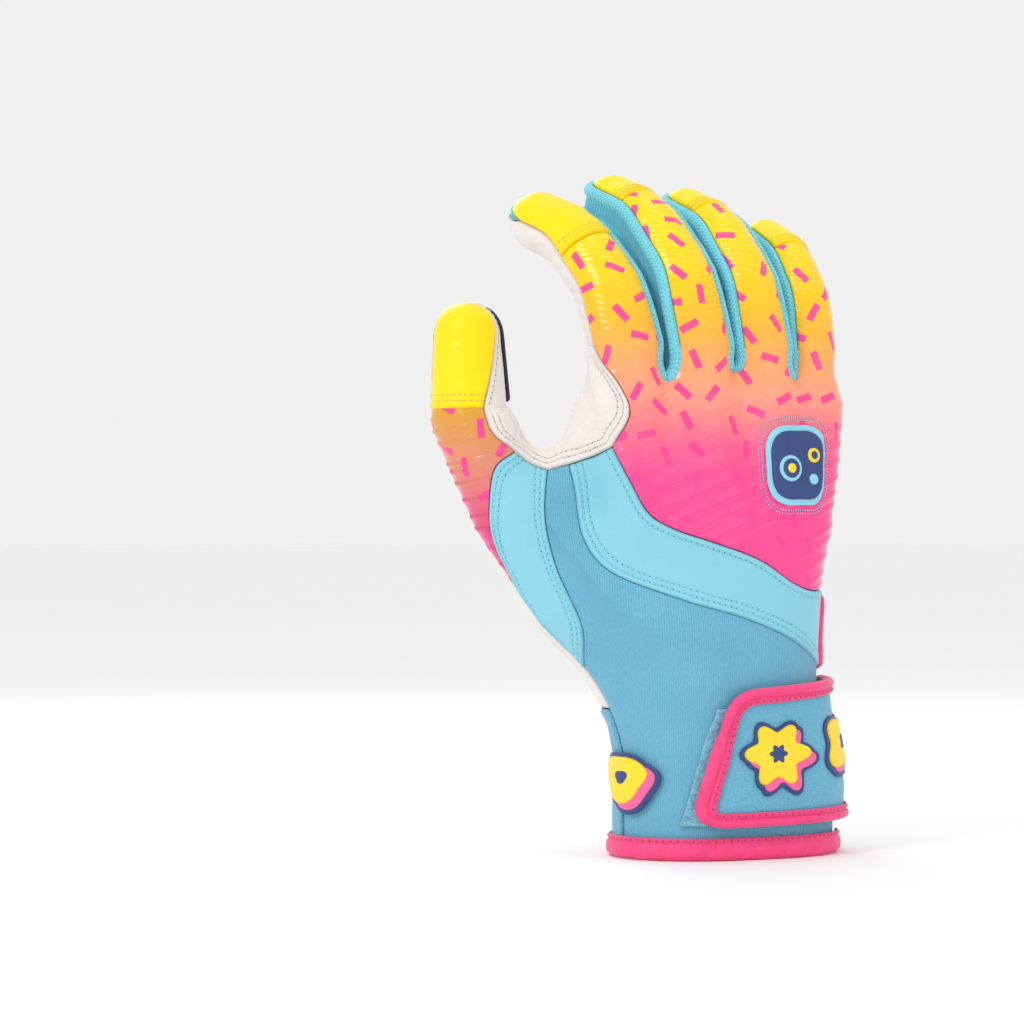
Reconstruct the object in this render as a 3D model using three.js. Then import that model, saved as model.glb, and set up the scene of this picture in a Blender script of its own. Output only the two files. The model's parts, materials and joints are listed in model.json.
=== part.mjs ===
// Right-hand batting glove in the shape of a gripping hand.
// Frame: origin at the centre of the wrist opening, +Z to the fingers, back of the hand to -Y, thumb to -X.
import * as THREE from 'three'

// Driving sizes of the hand form, millimetres and degrees
const palmWidth = 88
const palmDepth = 28
const foldHeight = 177
const sewnGap = 0.5
const layerGap = 0.3
const skinThickness = 1.4
const meshThickness = 1.2
const overlayThickness = 0.9
const cuffThickness = 1.8
const stepNormal = 0.05
const foldCut = sewnGap / 2
const webGap = 1
const crotchGap = 0.75
const facingPull = 6

// Fingers: where each stands on the palm, its bends and seams in degrees; bones and crotch are shares of the
// fold's height, lean and girth of the palm's width
const fingers = {
  index: {
    baseShare: [-0.449, 0.018], boneShares: [0.113, 0.1299, 0.096], bends: [8, 38, 68], leanShare: -0.1875,
    girthShares: [0.1432, 0.1182], seams: { left: [-7, -7], right: [-40, 38] }, crotchShare: 0.0621, capStation: 6,
  },
  middle: {
    baseShare: [-0.148, -0.054], boneShares: [0.1356, 0.1469, 0.1073], bends: [8, 38, 68],
    leanShare: -0.1534, girthShares: [0.1455, 0.1205], seams: { left: [-40, 38], right: [-40, 38] }, crotchShare: 0.0395, capStation: 8,
  },
  ring: {
    baseShare: [0.14, -0.018], boneShares: [0.1243, 0.1412, 0.1073], bends: [8, 38, 68], leanShare: -0.1023,
    girthShares: [0.1307, 0.1136], seams: { left: [-40, 38], right: [-40, 38] }, crotchShare: 0.0621, capStation: 8,
  },
  pinky: {
    baseShare: [0.393, 0.089], boneShares: [0.1017, 0.1073, 0.0904], bends: [8, 38, 66], leanShare: -0.0114,
    girthShares: [0.1136, 0.1], seams: { left: [-40, 38], right: [-5, -5] }, crotchShare: 0.0621, capStation: 7,
  },
}
const bendLength = 14
const leanPower = 1.2
const fingerSteps = 9
const rootDropShare = 0.2373
const rootSetbackShare = 0.0536
const rootGirthShare = 0.72

// Hand form: each row is x as a share of the palm's width, y of its depth, z of the fold's height,
// and the radius there as a share of the palm's depth
const wristShares = [-0.159, 0, 0.159]
const wristRingShares = [[1, 0, -0.113, 0.964], [1, -0.006, 0.124, 0.946], [0.8, -0.045, 0.418, 0.786]]
const wristSideGirthShare = 0.97
const metacarpals = {
  index: { wristShare: -0.136, wristGirthShare: 0.714, knuckleGirthShare: 0.486 },
  middle: { wristShare: -0.057, wristGirthShare: 0.75, knuckleGirthShare: 0.486 },
  ring: { wristShare: 0.023, wristGirthShare: 0.714, knuckleGirthShare: 0.486 },
  pinky: { wristShare: 0.091, wristGirthShare: 0.661, knuckleGirthShare: 0.443 },
}
const metacarpalHeightShares = [0.35, 0.655, 0.881]
const metacarpalMiddleShare = 0.66
const metacarpalGirthShare = 0.589
const thumbShares = [
  [-0.227, 0.286, 0.35, 0.679], [-0.568, 0.571, 0.52, 0.679], [-0.807, 0.786, 0.684, 0.557],
  [-0.977, 0.964, 0.859, 0.475], [-0.972, 1.071, 1.023, 0.407],
]
const webShares = [[-0.773, 0.643, 0.667, 0.321], [-0.614, 0.357, 0.78, 0.232], [-0.489, 0.107, 0.859, 0.321]]
const wristBlend = 10
const palmBlend = 14
const thumbBlend = 20
const webBlend = 12
const fingerBlend = 6

// Places on the hand form, from shares
const place = ([x, y, z]) => new THREE.Vector3(x * palmWidth, y * palmDepth, z * foldHeight)
const rad = THREE.MathUtils.degToRad
const lerp = THREE.MathUtils.lerp
const smooth = (t) => THREE.MathUtils.smoothstep(t, 0, 1)

// A finger's centre line: its bones bend smoothly at two knuckles while it leans to the thumb
function centreLine(finger) {
  const bones = finger.boneShares.map((share) => share * foldHeight)
  const girths = finger.girthShares.map((share) => share * palmWidth)
  const length = bones.reduce((a, b) => a + b)
  const knuckles = [bones[0], bones[0] + bones[1]]
  const bendAt = (s) => finger.bends[0] + knuckles.reduce((sum, k, i) =>
    sum + (finger.bends[i + 1] - finger.bends[i]) * smooth((s - k) / bendLength + 1 / 2), 0)
  const fine = fingerSteps * 20
  const step = length / fine
  const points = []
  let y = finger.baseShare[1] * palmDepth
  let z = foldHeight
  for (let i = 0; i <= fine; i++) {
    const s = i * step
    const x = (finger.baseShare[0] + finger.leanShare * (s / length) ** leanPower) * palmWidth
    points.push(new THREE.Vector3(x, y, z))
    const angle = rad(bendAt(s + step / 2))
    y += Math.sin(angle) * step
    z += Math.cos(angle) * step
  }
  const at = (s) => {
    const t = THREE.MathUtils.clamp(s / step, 0, fine)
    const i = Math.min(Math.floor(t), fine - 1)
    return points[i].clone().lerp(points[i + 1], t - i)
  }
  const frame = (s) => {
    const upright = smooth(s / bones[0])
    const tangent = at(s + step).sub(at(Math.min(s, length - step))).normalize()
    tangent.lerp(new THREE.Vector3(0, 0, 1), 1 - upright).normalize()
    const side = new THREE.Vector3(1, 0, 0)
    side.addScaledVector(tangent, -side.dot(tangent)).normalize()
    return { tangent, side, front: new THREE.Vector3().crossVectors(tangent, side) }
  }
  const girth = (s) => lerp(girths[0], girths[1], s / length)
  return { length, at, frame, girth }
}
const lines = Object.fromEntries(Object.entries(fingers).map(([name, f]) => [name, centreLine(f)]))
const fingerNames = Object.keys(fingers)

// The form's field: distance to chains of tapered bones, joined by smooth unions
function chain(points, radii) {
  const links = points.slice(1).map((b, i) => {
    const a = points[i]
    const d = b.clone().sub(a)
    return { a, d, square: d.lengthSq(), r: radii[i], dr: radii[i + 1] - radii[i] }
  })
  return (p) => {
    let best = Infinity
    for (const { a, d, square, r, dr } of links) {
      const x = p.x - a.x
      const y = p.y - a.y
      const z = p.z - a.z
      const t = Math.min(1, Math.max(0, (x * d.x + y * d.y + z * d.z) / square))
      best = Math.min(best, Math.hypot(x - t * d.x, y - t * d.y, z - t * d.z) - r - dr * t)
    }
    return best
  }
}
function union(a, b, k) {
  const h = Math.max(k - Math.abs(a - b), 0) / k
  return Math.min(a, b) - h * h * k / 4
}
const wristChains = wristShares.map((x) => chain(
  wristRingShares.map(([spread, shift, z]) => place([x * spread + shift, 0, z])),
  wristRingShares.map((row) => row[3] * palmDepth * (x === 0 ? 1 : wristSideGirthShare))))
const knuckleChains = Object.entries(metacarpals).map(([name, bone]) => {
  const [x, y] = fingers[name].baseShare
  const middle = lerp(bone.wristShare, x, metacarpalMiddleShare)
  const girths = [bone.wristGirthShare, metacarpalGirthShare, bone.knuckleGirthShare]
  return chain([
    place([bone.wristShare, 0, metacarpalHeightShares[0]]),
    place([middle, y, metacarpalHeightShares[1]]),
    place([x, y, metacarpalHeightShares[2]]),
  ], girths.map((share) => share * palmDepth))
})
const boneChain = (rows) => chain(rows.map(place), rows.map((row) => row[3] * palmDepth))
const thumbChain = boneChain(thumbShares)
const webChain = boneChain(webShares)
const fingerChains = Object.fromEntries(Object.entries(fingers).map(([name, finger]) => {
  const line = lines[name]
  const stations = Array.from({ length: fingerSteps + 1 }, (_, i) => line.length * i / fingerSteps)
  const root = line.at(0).add(new THREE.Vector3(0, -rootSetbackShare * palmDepth, -rootDropShare * foldHeight))
  return [name, chain([root, ...stations.map(line.at)],
    [line.girth(0) * rootGirthShare, ...stations.map(line.girth)])]
}))
function palmField(p) {
  let d = wristChains.reduce((sum, bone) => union(sum, bone(p), wristBlend), Infinity)
  d = knuckleChains.reduce((sum, bone) => union(sum, bone(p), palmBlend), d)
  d = union(d, thumbChain(p), thumbBlend)
  return union(d, webChain(p), webBlend)
}
function handField(p, names = fingerNames) {
  const palm = palmField(p)
  return names.reduce((d, name) => Math.min(d, union(palm, fingerChains[name](p), fingerBlend)), palm)
}
function slope(p, field) {
  const g = new THREE.Vector3()
  for (const axis of ['x', 'y', 'z']) {
    const q = p.clone()
    q[axis] += stepNormal
    const ahead = field(q)
    q[axis] -= 2 * stepNormal
    g[axis] = (ahead - field(q)) / (2 * stepNormal)
  }
  return g
}

// A point is carried to a level of the field, down its slope or along a ray
function settle(p, level, field) {
  const q = p.clone()
  for (let i = 0; i < 12; i++) {
    const g = slope(q, field)
    q.addScaledVector(g, (level - field(q)) / Math.max(g.lengthSq(), 1 / 4))
  }
  return q
}
function reach(origin, direction, level, field) {
  const q = origin.clone()
  for (let i = 0; i < 48; i++) {
    const step = level - field(q)
    q.addScaledVector(direction, step)
    if (Math.abs(step) < stepNormal * stepNormal) break
  }
  return q
}

// Closed solids from grids of points: two skins and the rim between them, or a ring carried along a path
function closedMesh(points, faces) {
  let volume = 0
  for (const [a, b, c] of faces) volume += points[a].dot(points[b].clone().cross(points[c]))
  const geometry = new THREE.BufferGeometry()
  const flat = points.flatMap((p) => [p.x, p.y, p.z])
  geometry.setAttribute('position', new THREE.Float32BufferAttribute(flat, 3))
  geometry.setIndex(faces.flatMap(([a, b, c]) => (volume > 0 ? [a, b, c] : [a, c, b])))
  geometry.computeVertexNormals()
  return geometry
}
function shellSolid(outer, inner) {
  const rows = outer.length
  const columns = outer[0].length
  const count = rows * columns
  const points = [...outer.flat(), ...inner.flat()]
  const faces = []
  const quad = (a, b, c, d) => faces.push([a, b, c], [a, c, d])
  for (let i = 0; i < rows - 1; i++) {
    for (let j = 0; j < columns - 1; j++) {
      const a = i * columns + j
      quad(a, a + 1, a + columns + 1, a + columns)
      quad(count + a, count + a + columns, count + a + columns + 1, count + a + 1)
    }
  }
  const edge = []
  for (let j = 0; j < columns - 1; j++) edge.push(j)
  for (let i = 0; i < rows - 1; i++) edge.push(i * columns + columns - 1)
  for (let j = columns - 1; j > 0; j--) edge.push((rows - 1) * columns + j)
  for (let i = rows - 1; i > 0; i--) edge.push(i * columns)
  edge.forEach((a, k) => {
    const b = edge[(k + 1) % edge.length]
    quad(b, a, count + a, count + b)
  })
  return closedMesh(points, faces)
}
function sweptSolid(rings) {
  const sides = rings[0].length
  const points = rings.flat()
  const faces = []
  for (let i = 0; i < rings.length - 1; i++) {
    for (let j = 0; j < sides; j++) {
      const a = i * sides + j
      const b = i * sides + (j + 1) % sides
      faces.push([a, b, b + sides], [a, b + sides, a + sides])
    }
  }
  const last = (rings.length - 1) * sides
  const flat = profileFaces(sides)
  for (const [a, b, c] of flat) faces.push([a, c, b], [last + a, last + b, last + c])
  return closedMesh(points, faces)
}
// A channel's section is a strip folded back on itself, so its end closes by a ladder of faces
function profileFaces(sides) {
  const faces = []
  for (let k = 0; k < sides / 2 - 1; k++) {
    const far = sides - 1 - k
    faces.push([k, k + 1, far - 1], [k, far - 1, far])
  }
  return faces
}

// A seam is a smooth curve through a few points, laid on the form
function seam(points, count, field = handField) {
  const curve = new THREE.CatmullRomCurve3(points, false, 'centripetal')
  return curve.getSpacedPoints(count).map((p) => settle(p, 0, field))
}
const line3 = (shares) => shares.map(place)

// A panel fills four seams: places and directions are blended from the edges, then carried to the form
function blendEdges(bottom, top, left, right, u, v) {
  const at = (edge, t) => {
    const k = t * (edge.length - 1)
    const i = Math.min(Math.floor(k), edge.length - 2)
    return edge[i].clone().lerp(edge[i + 1], k - i)
  }
  const p = at(left, v).multiplyScalar(1 - u).addScaledVector(at(right, v), u)
  p.addScaledVector(at(bottom, u), 1 - v).addScaledVector(at(top, u), v)
  p.addScaledVector(bottom[0], -(1 - u) * (1 - v)).addScaledVector(bottom.at(-1), -u * (1 - v))
  p.addScaledVector(top[0], -(1 - u) * v).addScaledVector(top.at(-1), -u * v)
  return p
}
// facing: where the panel's middle looks; thickness: the inner skin's distance below the outer one
function panel({ bottom, top, left, right, columns, rows, inner, outer, facing, thickness = 0, gap = sewnGap }) {
  const field = handField
  const edges = [bottom, top, left, right].map((edge) => edge.map((p) => settle(p, 0, field)))
  const normals = edges.map((edge) => edge.map((p) => slope(p, field).normalize()))
  const across = (v) => blendEdges(...edges, 0, v).distanceTo(blendEdges(...edges, 1, v))
  const along = (u) => blendEdges(...edges, u, 0).distanceTo(blendEdges(...edges, u, 1))
  const skins = [[], []]
  for (let i = 0; i <= rows; i++) {
    for (const skin of skins) skin.push([])
    for (let j = 0; j <= columns; j++) {
      const insetU = gap / 2 / across(i / rows)
      const insetV = gap / 2 / along(j / columns)
      const u = insetU + j / columns * (1 - 2 * insetU)
      const v = insetV + i / rows * (1 - 2 * insetV)
      const p = blendEdges(...edges, u, v)
      const direction = blendEdges(...normals, u, v)
      const inward = direction.clone()
      if (facing) {
        const middle = u * (1 - u) * v * (1 - v)
        direction.addScaledVector(facing, facingPull * middle ** (1 / 2))
        inward.addScaledVector(facing, facingPull * middle)
      }
      direction.normalize()
      inward.normalize().multiplyScalar(-thickness)
      const q = reach(p, direction, outer, field)
      skins[0][i].push(q)
      skins[1][i].push(thickness ? q.clone().add(inward) : reach(p, direction, inner, field))
    }
  }
  return shellSolid(...skins)
}

// A ribbon passes through three seams: its two edges and the ridge between them
function ribbon(seams, rows, { inner, outer }) {
  const field = handField
  const normals = seams.map((points) => points.map((p) => slope(p, field).normalize()))
  const through = ([a, b, c], t) => a.clone().multiplyScalar((1 - t) * (1 - 2 * t))
    .addScaledVector(b, 4 * t * (1 - t)).addScaledVector(c, t * (2 * t - 1))
  const steps = seams[0].length - 1
  const skins = [[], []]
  for (let i = 0; i <= rows; i++) {
    for (const skin of skins) skin.push([])
    for (let j = 0; j <= steps; j++) {
      const width = seams[0][j].distanceTo(seams[1][j]) + seams[1][j].distanceTo(seams[2][j])
      const inset = webGap / 2 / width
      const t = inset + i / rows * (1 - 2 * inset)
      const p = through(seams.map((points) => points[j]), t)
      const direction = through(normals.map((n) => n[j]), t).normalize()
      const end = j === 0 || j === steps ? foldCut : 0
      p.z -= end
      skins[0][i].push(reach(p, direction, outer, field))
      skins[1][i].push(reach(p, direction, inner, field))
    }
  }
  return shellSolid(...skins)
}

// Lines across the body at one height, met from outside along rays to the wrist's or the hand's spine
const leftSpineShares = [[-0.159, 0, 0], [-0.159, 0, 0.169], [-0.227, 0.286, 0.35], [-0.568, 0.571, 0.52],
  [-0.807, 0.786, 0.684], [-0.977, 0.964, 0.859], [-0.972, 1.071, 1.023]]
const rightSpineShares = [[0.159, 0, 0], [0.153, 0, 0.124], [0.08, 0, 0.418], [0.284, 0, 0.655],
  [0.393, 0.054, 0.881], [0.393, 0.089, 1]]
function spineAt(shares, z) {
  const rows = shares.map(place)
  let i = rows.findIndex((row) => row.z > z) - 1
  if (i < 0) i = z > 0 ? rows.length - 2 : 0
  return rows[i].clone().lerp(rows[i + 1], (z - rows[i].z) / (rows[i + 1].z - rows[i].z))
}
// turn: degrees from the back of the hand, + to the little finger's side, - to the thumb's side
function around(turn, z, level = 0) {
  const spine = spineAt(turn > 0 ? rightSpineShares : leftSpineShares, z)
  const direction = new THREE.Vector3(Math.sin(rad(turn)), -Math.cos(rad(turn)), 0)
  return reach(spine.setZ(z).addScaledVector(direction, palmDepth * 2), direction, level, handField)
}
// across: a distance from the middle of the back or palm; past the spine it turns round the side
const sideArcShare = 0.714
const sideArc = palmDepth * sideArcShare
function unrolled(across, z, face, level = 0) {
  const left = spineAt(leftSpineShares, z)
  const right = spineAt(rightSpineShares, z)
  const spine = across < left.x ? left : across > right.x ? right : left.clone().lerp(right,
    (across - left.x) / (right.x - left.x))
  const turn = (across - spine.x) / sideArc
  const direction = new THREE.Vector3(Math.sin(turn), face * Math.cos(turn), 0)
  return reach(spine.setZ(z).addScaledVector(direction, palmDepth * 2), direction, level, handField)
}
// across for turns about the two spines: from is degrees round the thumb's side, to round the other side
const wrapped = (from, to, t, z) => lerp(spineAt(leftSpineShares, z).x - sideArc * rad(from),
  spineAt(rightSpineShares, z).x + sideArc * rad(to), t)
// A layer lies on one face between two levels; its grid holds [across, z]
function layer(grid, face, low, high) {
  return shellSolid(...[high, low].map((level) => grid.map((row) => row.map(([x, z]) => unrolled(x, z, face, level)))))
}
const mesh2 = (rows, columns, at) => Array.from({ length: rows + 1 }, (_, i) =>
  Array.from({ length: columns + 1 }, (_, j) => at(j / columns, i / rows)))
// A flat bar carried along a path on the form
function bar(path, halfWidth, low, high) {
  return sweptSolid(path.map((p, i) => {
    const normal = slope(p, handField).normalize()
    const along = path[Math.min(i + 1, path.length - 1)].clone().sub(path[Math.max(i - 1, 0)])
    const side = along.cross(normal).normalize()
    return [[1, low], [1, high], [-1, high], [-1, low]].map(([sign, level]) =>
      reach(p.clone().addScaledVector(side, sign * halfWidth), normal, level, handField))
  }))
}
const onBack = ([x, z]) => unrolled(x * palmWidth, z * foldHeight, -1)

// The thumb tip above its fold: an upright line whose front is the grip pad
const thumbFoldShare = 0.87853
const thumbFold = foldHeight * thumbFoldShare
const padTurn = 152
const thumbGirthShares = [0.475, 0.407]
function thumbTipLine() {
  const rows = thumbShares.slice(3).map(place)
  const tip = rows[1]
  const base = rows[0].clone().lerp(tip, (thumbFold - rows[0].z) / (tip.z - rows[0].z))
  const length = base.distanceTo(tip)
  const at = (s) => base.clone().lerp(tip, s / length)
  const frame = (s) => {
    const tangent = tip.clone().sub(base).normalize().lerp(new THREE.Vector3(0, 0, 1), 1 - smooth(s / length))
    tangent.normalize()
    const side = new THREE.Vector3(-Math.cos(rad(padTurn)), -Math.sin(rad(padTurn)), 0)
    side.addScaledVector(tangent, -side.dot(tangent)).normalize()
    return { tangent, side, front: new THREE.Vector3().crossVectors(tangent, side) }
  }
  return { length, at, frame, girth: (s) => lerp(...thumbGirthShares, s / length) * palmDepth }
}
fingers.thumb = { seams: { left: [-5, -5], right: [-24, 23] }, baseSeams: { left: [-5, -5], right: [-65, 23] } }
lines.thumb = thumbTipLine()
const digitField = (name) => (p) => (name === 'thumb' ? palmField(p) : handField(p, [name]))
function seamRise(name, side, which, s) {
  const { seams, baseSeams = seams } = fingers[name]
  return lerp(baseSeams[side][which], seams[side][which], s / lines[name].length)
}

// Finger skins: directions about the centre line, with the round tip as half a disc of directions
function fingerPoint(name, s, turn, level, field) {
  const { side, front } = lines[name].frame(s)
  const direction = side.multiplyScalar(Math.sin(rad(turn))).addScaledVector(front, -Math.cos(rad(turn)))
  return reach(lines[name].at(s), direction, level, field)
}
// sweep: 0 on the right side, 90 over the tip, 180 on the left; rise: 0 level, 90 to the front
function tipPoint(name, sweep, rise, level, field) {
  const { length, at, frame } = lines[name]
  const { tangent, side, front } = frame(length)
  const level2 = side.multiplyScalar(Math.cos(rad(sweep))).addScaledVector(tangent, Math.sin(rad(sweep)))
  const direction = level2.multiplyScalar(Math.cos(rad(rise))).addScaledVector(front, Math.sin(rad(rise)))
  return reach(at(length), direction, level, field)
}
const tipSeam = (finger, which, sweep) => lerp(finger.seams.right[which], finger.seams.left[which], sweep / 180)

// face: 1 for the palm side, 0 for the back; it runs from one length to another and may close the tip
function fingerFace(name, { face, from, to, overTip, columns, rows, tipRows, inner, outer }) {
  const finger = fingers[name]
  const field = digitField(name)
  const sign = face ? 1 : -1
  const reachIn = sewnGap / 2
  const skins = [outer, inner].map((level) => {
    const grid = []
    for (let i = 0; i <= rows; i++) {
      const s = lerp(from, to, i / rows)
      const trim = reachIn / lines[name].girth(s) * (180 / Math.PI)
      grid.push(Array.from({ length: columns + 1 }, (_, j) => {
        const u = j / columns
        const rightEdge = 90 - sign * seamRise(name, 'right', face, s) - trim
        const leftEdge = 90 - sign * seamRise(name, 'left', face, s) - trim
        const away = lerp(-leftEdge, rightEdge, u)
        return fingerPoint(name, s, face ? 180 - away : away, level, field)
      }))
    }
    for (let i = 1; overTip && i <= tipRows; i++) {
      const w = i / tipRows
      const trim = reachIn / lines[name].girth(lines[name].length) * (180 / Math.PI)
      grid.push(Array.from({ length: columns + 1 }, (_, j) => {
        const u = 2 * j / columns - 1
        const a = u * Math.sqrt(1 - w * w / 2)
        const b = w * Math.sqrt(1 - u * u / 2)
        const sweep = THREE.MathUtils.radToDeg(Math.atan2(b, a))
        const fromPole = Math.hypot(a, b) * (90 - sign * tipSeam(finger, face, sweep) - trim)
        return tipPoint(name, sweep, sign * (90 - fromPole), level, field)
      }))
    }
    return grid
  })
  return shellSolid(...skins)
}
// The side wall runs up one side, over the tip and down the other, between the face seams
function fingerWall(name, { sides, tipSteps, columns, inner, outer, from }) {
  const finger = fingers[name]
  const line = lines[name]
  const field = digitField(name)
  const open = (side) => finger.seams[side][1] - finger.seams[side][0] > sewnGap
  const trim = (s) => sewnGap / 2 / line.girth(s) * (180 / Math.PI)
  const taper = 30
  const skins = [outer, inner].map((level) => {
    const grid = []
    const row = (rightOrLeft, s) => Array.from({ length: columns + 1 }, (_, j) => {
      const [low, high] = [0, 1].map((which) => seamRise(name, rightOrLeft, which, s))
      const rise = lerp(low + trim(s), high - trim(s), j / columns)
      const turn = rightOrLeft === 'right' ? 90 + rise : -90 - rise
      return fingerPoint(name, s, turn, level, field)
    })
    if (open('right')) {
      for (let i = 0; i < sides; i++) grid.push(row('right', lerp(from, line.length, i / sides)))
    }
    const first = open('right') ? 0 : taper
    const last = open('left') ? 180 : 180 - taper
    for (let i = 0; i <= tipSteps; i++) {
      const sweep = lerp(first, last, i / tipSteps)
      grid.push(Array.from({ length: columns + 1 }, (_, j) => {
        const t = trim(line.length)
        const rise = lerp(tipSeam(finger, 0, sweep) + t, tipSeam(finger, 1, sweep) - t, j / columns)
        return tipPoint(name, sweep, rise, level, field)
      }))
    }
    if (open('left')) {
      for (let i = 1; i <= sides; i++) grid.push(row('left', lerp(line.length, from, i / sides)))
    }
    return grid
  })
  return shellSolid(...skins)
}

// Fold line across the four fingers, dipping into each crotch, on one face
const crotchSetShare = 0.32
const gussetTurn = 128
function crotchPoint(a, b, face, drop) {
  const low = lines[a].at(0).lerp(lines[b].at(0), 1 / 2)
  low.y += face * palmDepth * crotchSetShare
  low.z -= drop
  return low
}
function baseTurn(name, side, face) {
  const rise = fingers[name].seams[side][face]
  return side === 'right' ? 90 + rise : -90 - rise
}
const basePoint = (name, turn) => fingerPoint(name, 0, turn, 0, handField).setZ(foldHeight - foldCut)

const materials = {
  palmLeather: { color: 0xe6e0dc, roughness: 0.7 },
  yellowGel: { color: 0xffdf08, roughness: 0.35 },
  pinkGel: { color: 0xf85fa0, roughness: 0.35 },
  cyanMesh: { color: 0x45c0d8, roughness: 0.8 },
  lightBlue: { color: 0x7fd3e6, roughness: 0.65 },
  stretch: { color: 0x62b4d6, roughness: 0.85 },
  binding: { color: 0xff4f90, roughness: 0.55 },
  blackSuede: { color: 0x17181a, roughness: 0.95 },
  hookLoop: { color: 0x86cfe4, roughness: 1 },
  navyRubber: { color: 0x1f3f7c, roughness: 0.5 },
  yellowRubber: { color: 0xffe21c, roughness: 0.4 },
}
const looks = Object.fromEntries(Object.entries(materials).map(([name, look]) =>
  [name, new THREE.MeshStandardMaterial({ ...look, metalness: 0, name })]))

const glove = new THREE.Group()
glove.name = 'batting_glove'
function add(name, geometry, look) {
  const mesh = new THREE.Mesh(geometry, looks[look])
  mesh.name = name
  glove.add(mesh)
  return mesh
}

const skin = { inner: -skinThickness, outer: 0 }
const mesh = { inner: -meshThickness, outer: 0 }
const stations = 10
const faceColumns = 6
const tipRows = 4
for (const name of fingerNames) {
  const { length } = lines[name]
  const { capStation } = fingers[name]
  const capFrom = length * capStation / stations
  const face = { columns: faceColumns, tipRows, ...skin }
  add(`${name}_front`, fingerFace(name,
    { ...face, face: 1, from: foldCut, to: length, rows: stations, overTip: true }), 'palmLeather')
  add(`${name}_back`, fingerFace(name,
    { ...face, face: 0, from: foldCut, to: capFrom - foldCut, rows: capStation }), 'pinkGel')
  add(`${name}_cap`, fingerFace(name,
    { ...face, face: 0, from: capFrom + foldCut, to: length, rows: stations - capStation, overTip: true }), 'yellowGel')
  add(`${name}_mesh_wall`, fingerWall(name,
    { ...mesh, sides: stations, tipSteps: 10, columns: 2, from: foldCut }), 'cyanMesh')
}

// Thumb tip: yellow cap, leather front and inner wall, and the black grip pad over the front
const thumbRows = 4
const thumbFace = { columns: faceColumns, tipRows, from: foldCut, to: lines.thumb.length, rows: thumbRows, overTip: true }
add('thumb_cap', fingerFace('thumb', { ...thumbFace, ...skin, face: 0 }), 'yellowGel')
add('thumb_front', fingerFace('thumb', { ...thumbFace, ...skin, face: 1 }), 'palmLeather')
add('thumb_inner_wall', fingerWall('thumb',
  { ...skin, sides: thumbRows, tipSteps: 10, columns: 2, from: foldCut }), 'palmLeather')
const overlay = { inner: layerGap, outer: layerGap + overlayThickness }
const padRise = 2.5
add('thumb_grip_pad', fingerFace('thumb', { ...thumbFace, ...overlay, face: 1, from: padRise }), 'blackSuede')

// Webs: the mesh runs down one finger, round the crotch and up the next
const webEdge = (a, b, turnA, turnB, face) => {
  const drop = fingers[a].crotchShare * foldHeight
  const down = new THREE.Vector3(0, 0, -drop / 2)
  const low = crotchPoint(a, b, face, drop)
  return [basePoint(a, turnA), basePoint(a, turnA).add(down), low, basePoint(b, turnB).add(down), basePoint(b, turnB)]
}
const webSteps = 8
const webLift = 1.2
const webEdges = fingerNames.slice(1).map((b, k) => {
  const a = fingerNames[k]
  const edge = (which, face) =>
    seam(webEdge(a, b, baseTurn(a, 'right', which), baseTurn(b, 'left', which), face), webSteps)
  return { a, b, back: edge(0, -1), front: edge(1, 1) }
})
for (const { a, b, back, front } of webEdges) {
  add(`${a}_${b}_web`, panel({
    bottom: back, top: front, left: [back[0], basePoint(a, 90), front[0]],
    right: [back.at(-1), basePoint(b, -90), front.at(-1)], columns: webSteps, rows: 4, gap: webGap,
    facing: new THREE.Vector3(0, 0, webLift), thickness: meshThickness, ...mesh,
  }), 'cyanMesh')
}

// Seams of the hand, as places or as shares of the palm's width and the fold's height
const join = (...parts) => parts.reduce((all, part) => [...all, ...part.slice(1)])
const backwards = (points) => [...points].reverse()
const arc = (point, from, to, steps) =>
  Array.from({ length: steps + 1 }, (_, i) => point(lerp(from, to, i / steps)))
const radialTurn = -85
const ulnarTurn = 85
const ventBackTurn = 74
const ventPalmTurn = 112
const hem = 4.6
const heightShares = { strip: 0.53, heel: 0.2881, stripTop: 0.4124, stripFoot: 0.3672, bandFoot: 0.3616, bandHead: 0.5254, vent: 0.4915 }
const heel = heightShares.heel * foldHeight
const stripHeight = heightShares.stripTop * foldHeight
const stripLeave = heightShares.strip * foldHeight
const stripFoot = heightShares.stripFoot * foldHeight
const bandFoot = heightShares.bandFoot * foldHeight
const bandHead = heightShares.bandHead * foldHeight
const ventTop = heightShares.vent * foldHeight
const fold = (name, from, to) => arc((turn) => basePoint(name, turn), from, to, 4)
const thumbEdge = (from, to, steps) =>
  arc((turn) => fingerPoint('thumb', 0, turn, 0, palmField).setZ(thumbFold - foldCut), from, to, steps)
const thumbBackTurn = 90 + seamRise('thumb', 'right', 0, 0)
const thumbFrontTurn = 90 + seamRise('thumb', 'right', 1, 0)
const thumbOuterTurn = -90 - seamRise('thumb', 'left', 0, 0)
const radialAt = (z) => around(lerp(radialTurn, thumbOuterTurn + padTurn - 180,
  smooth((z - stripHeight) / (thumbFold - foldCut - stripHeight))), z)
const radialSide = (from, to, steps) => arc(radialAt, from, to, steps)

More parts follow.
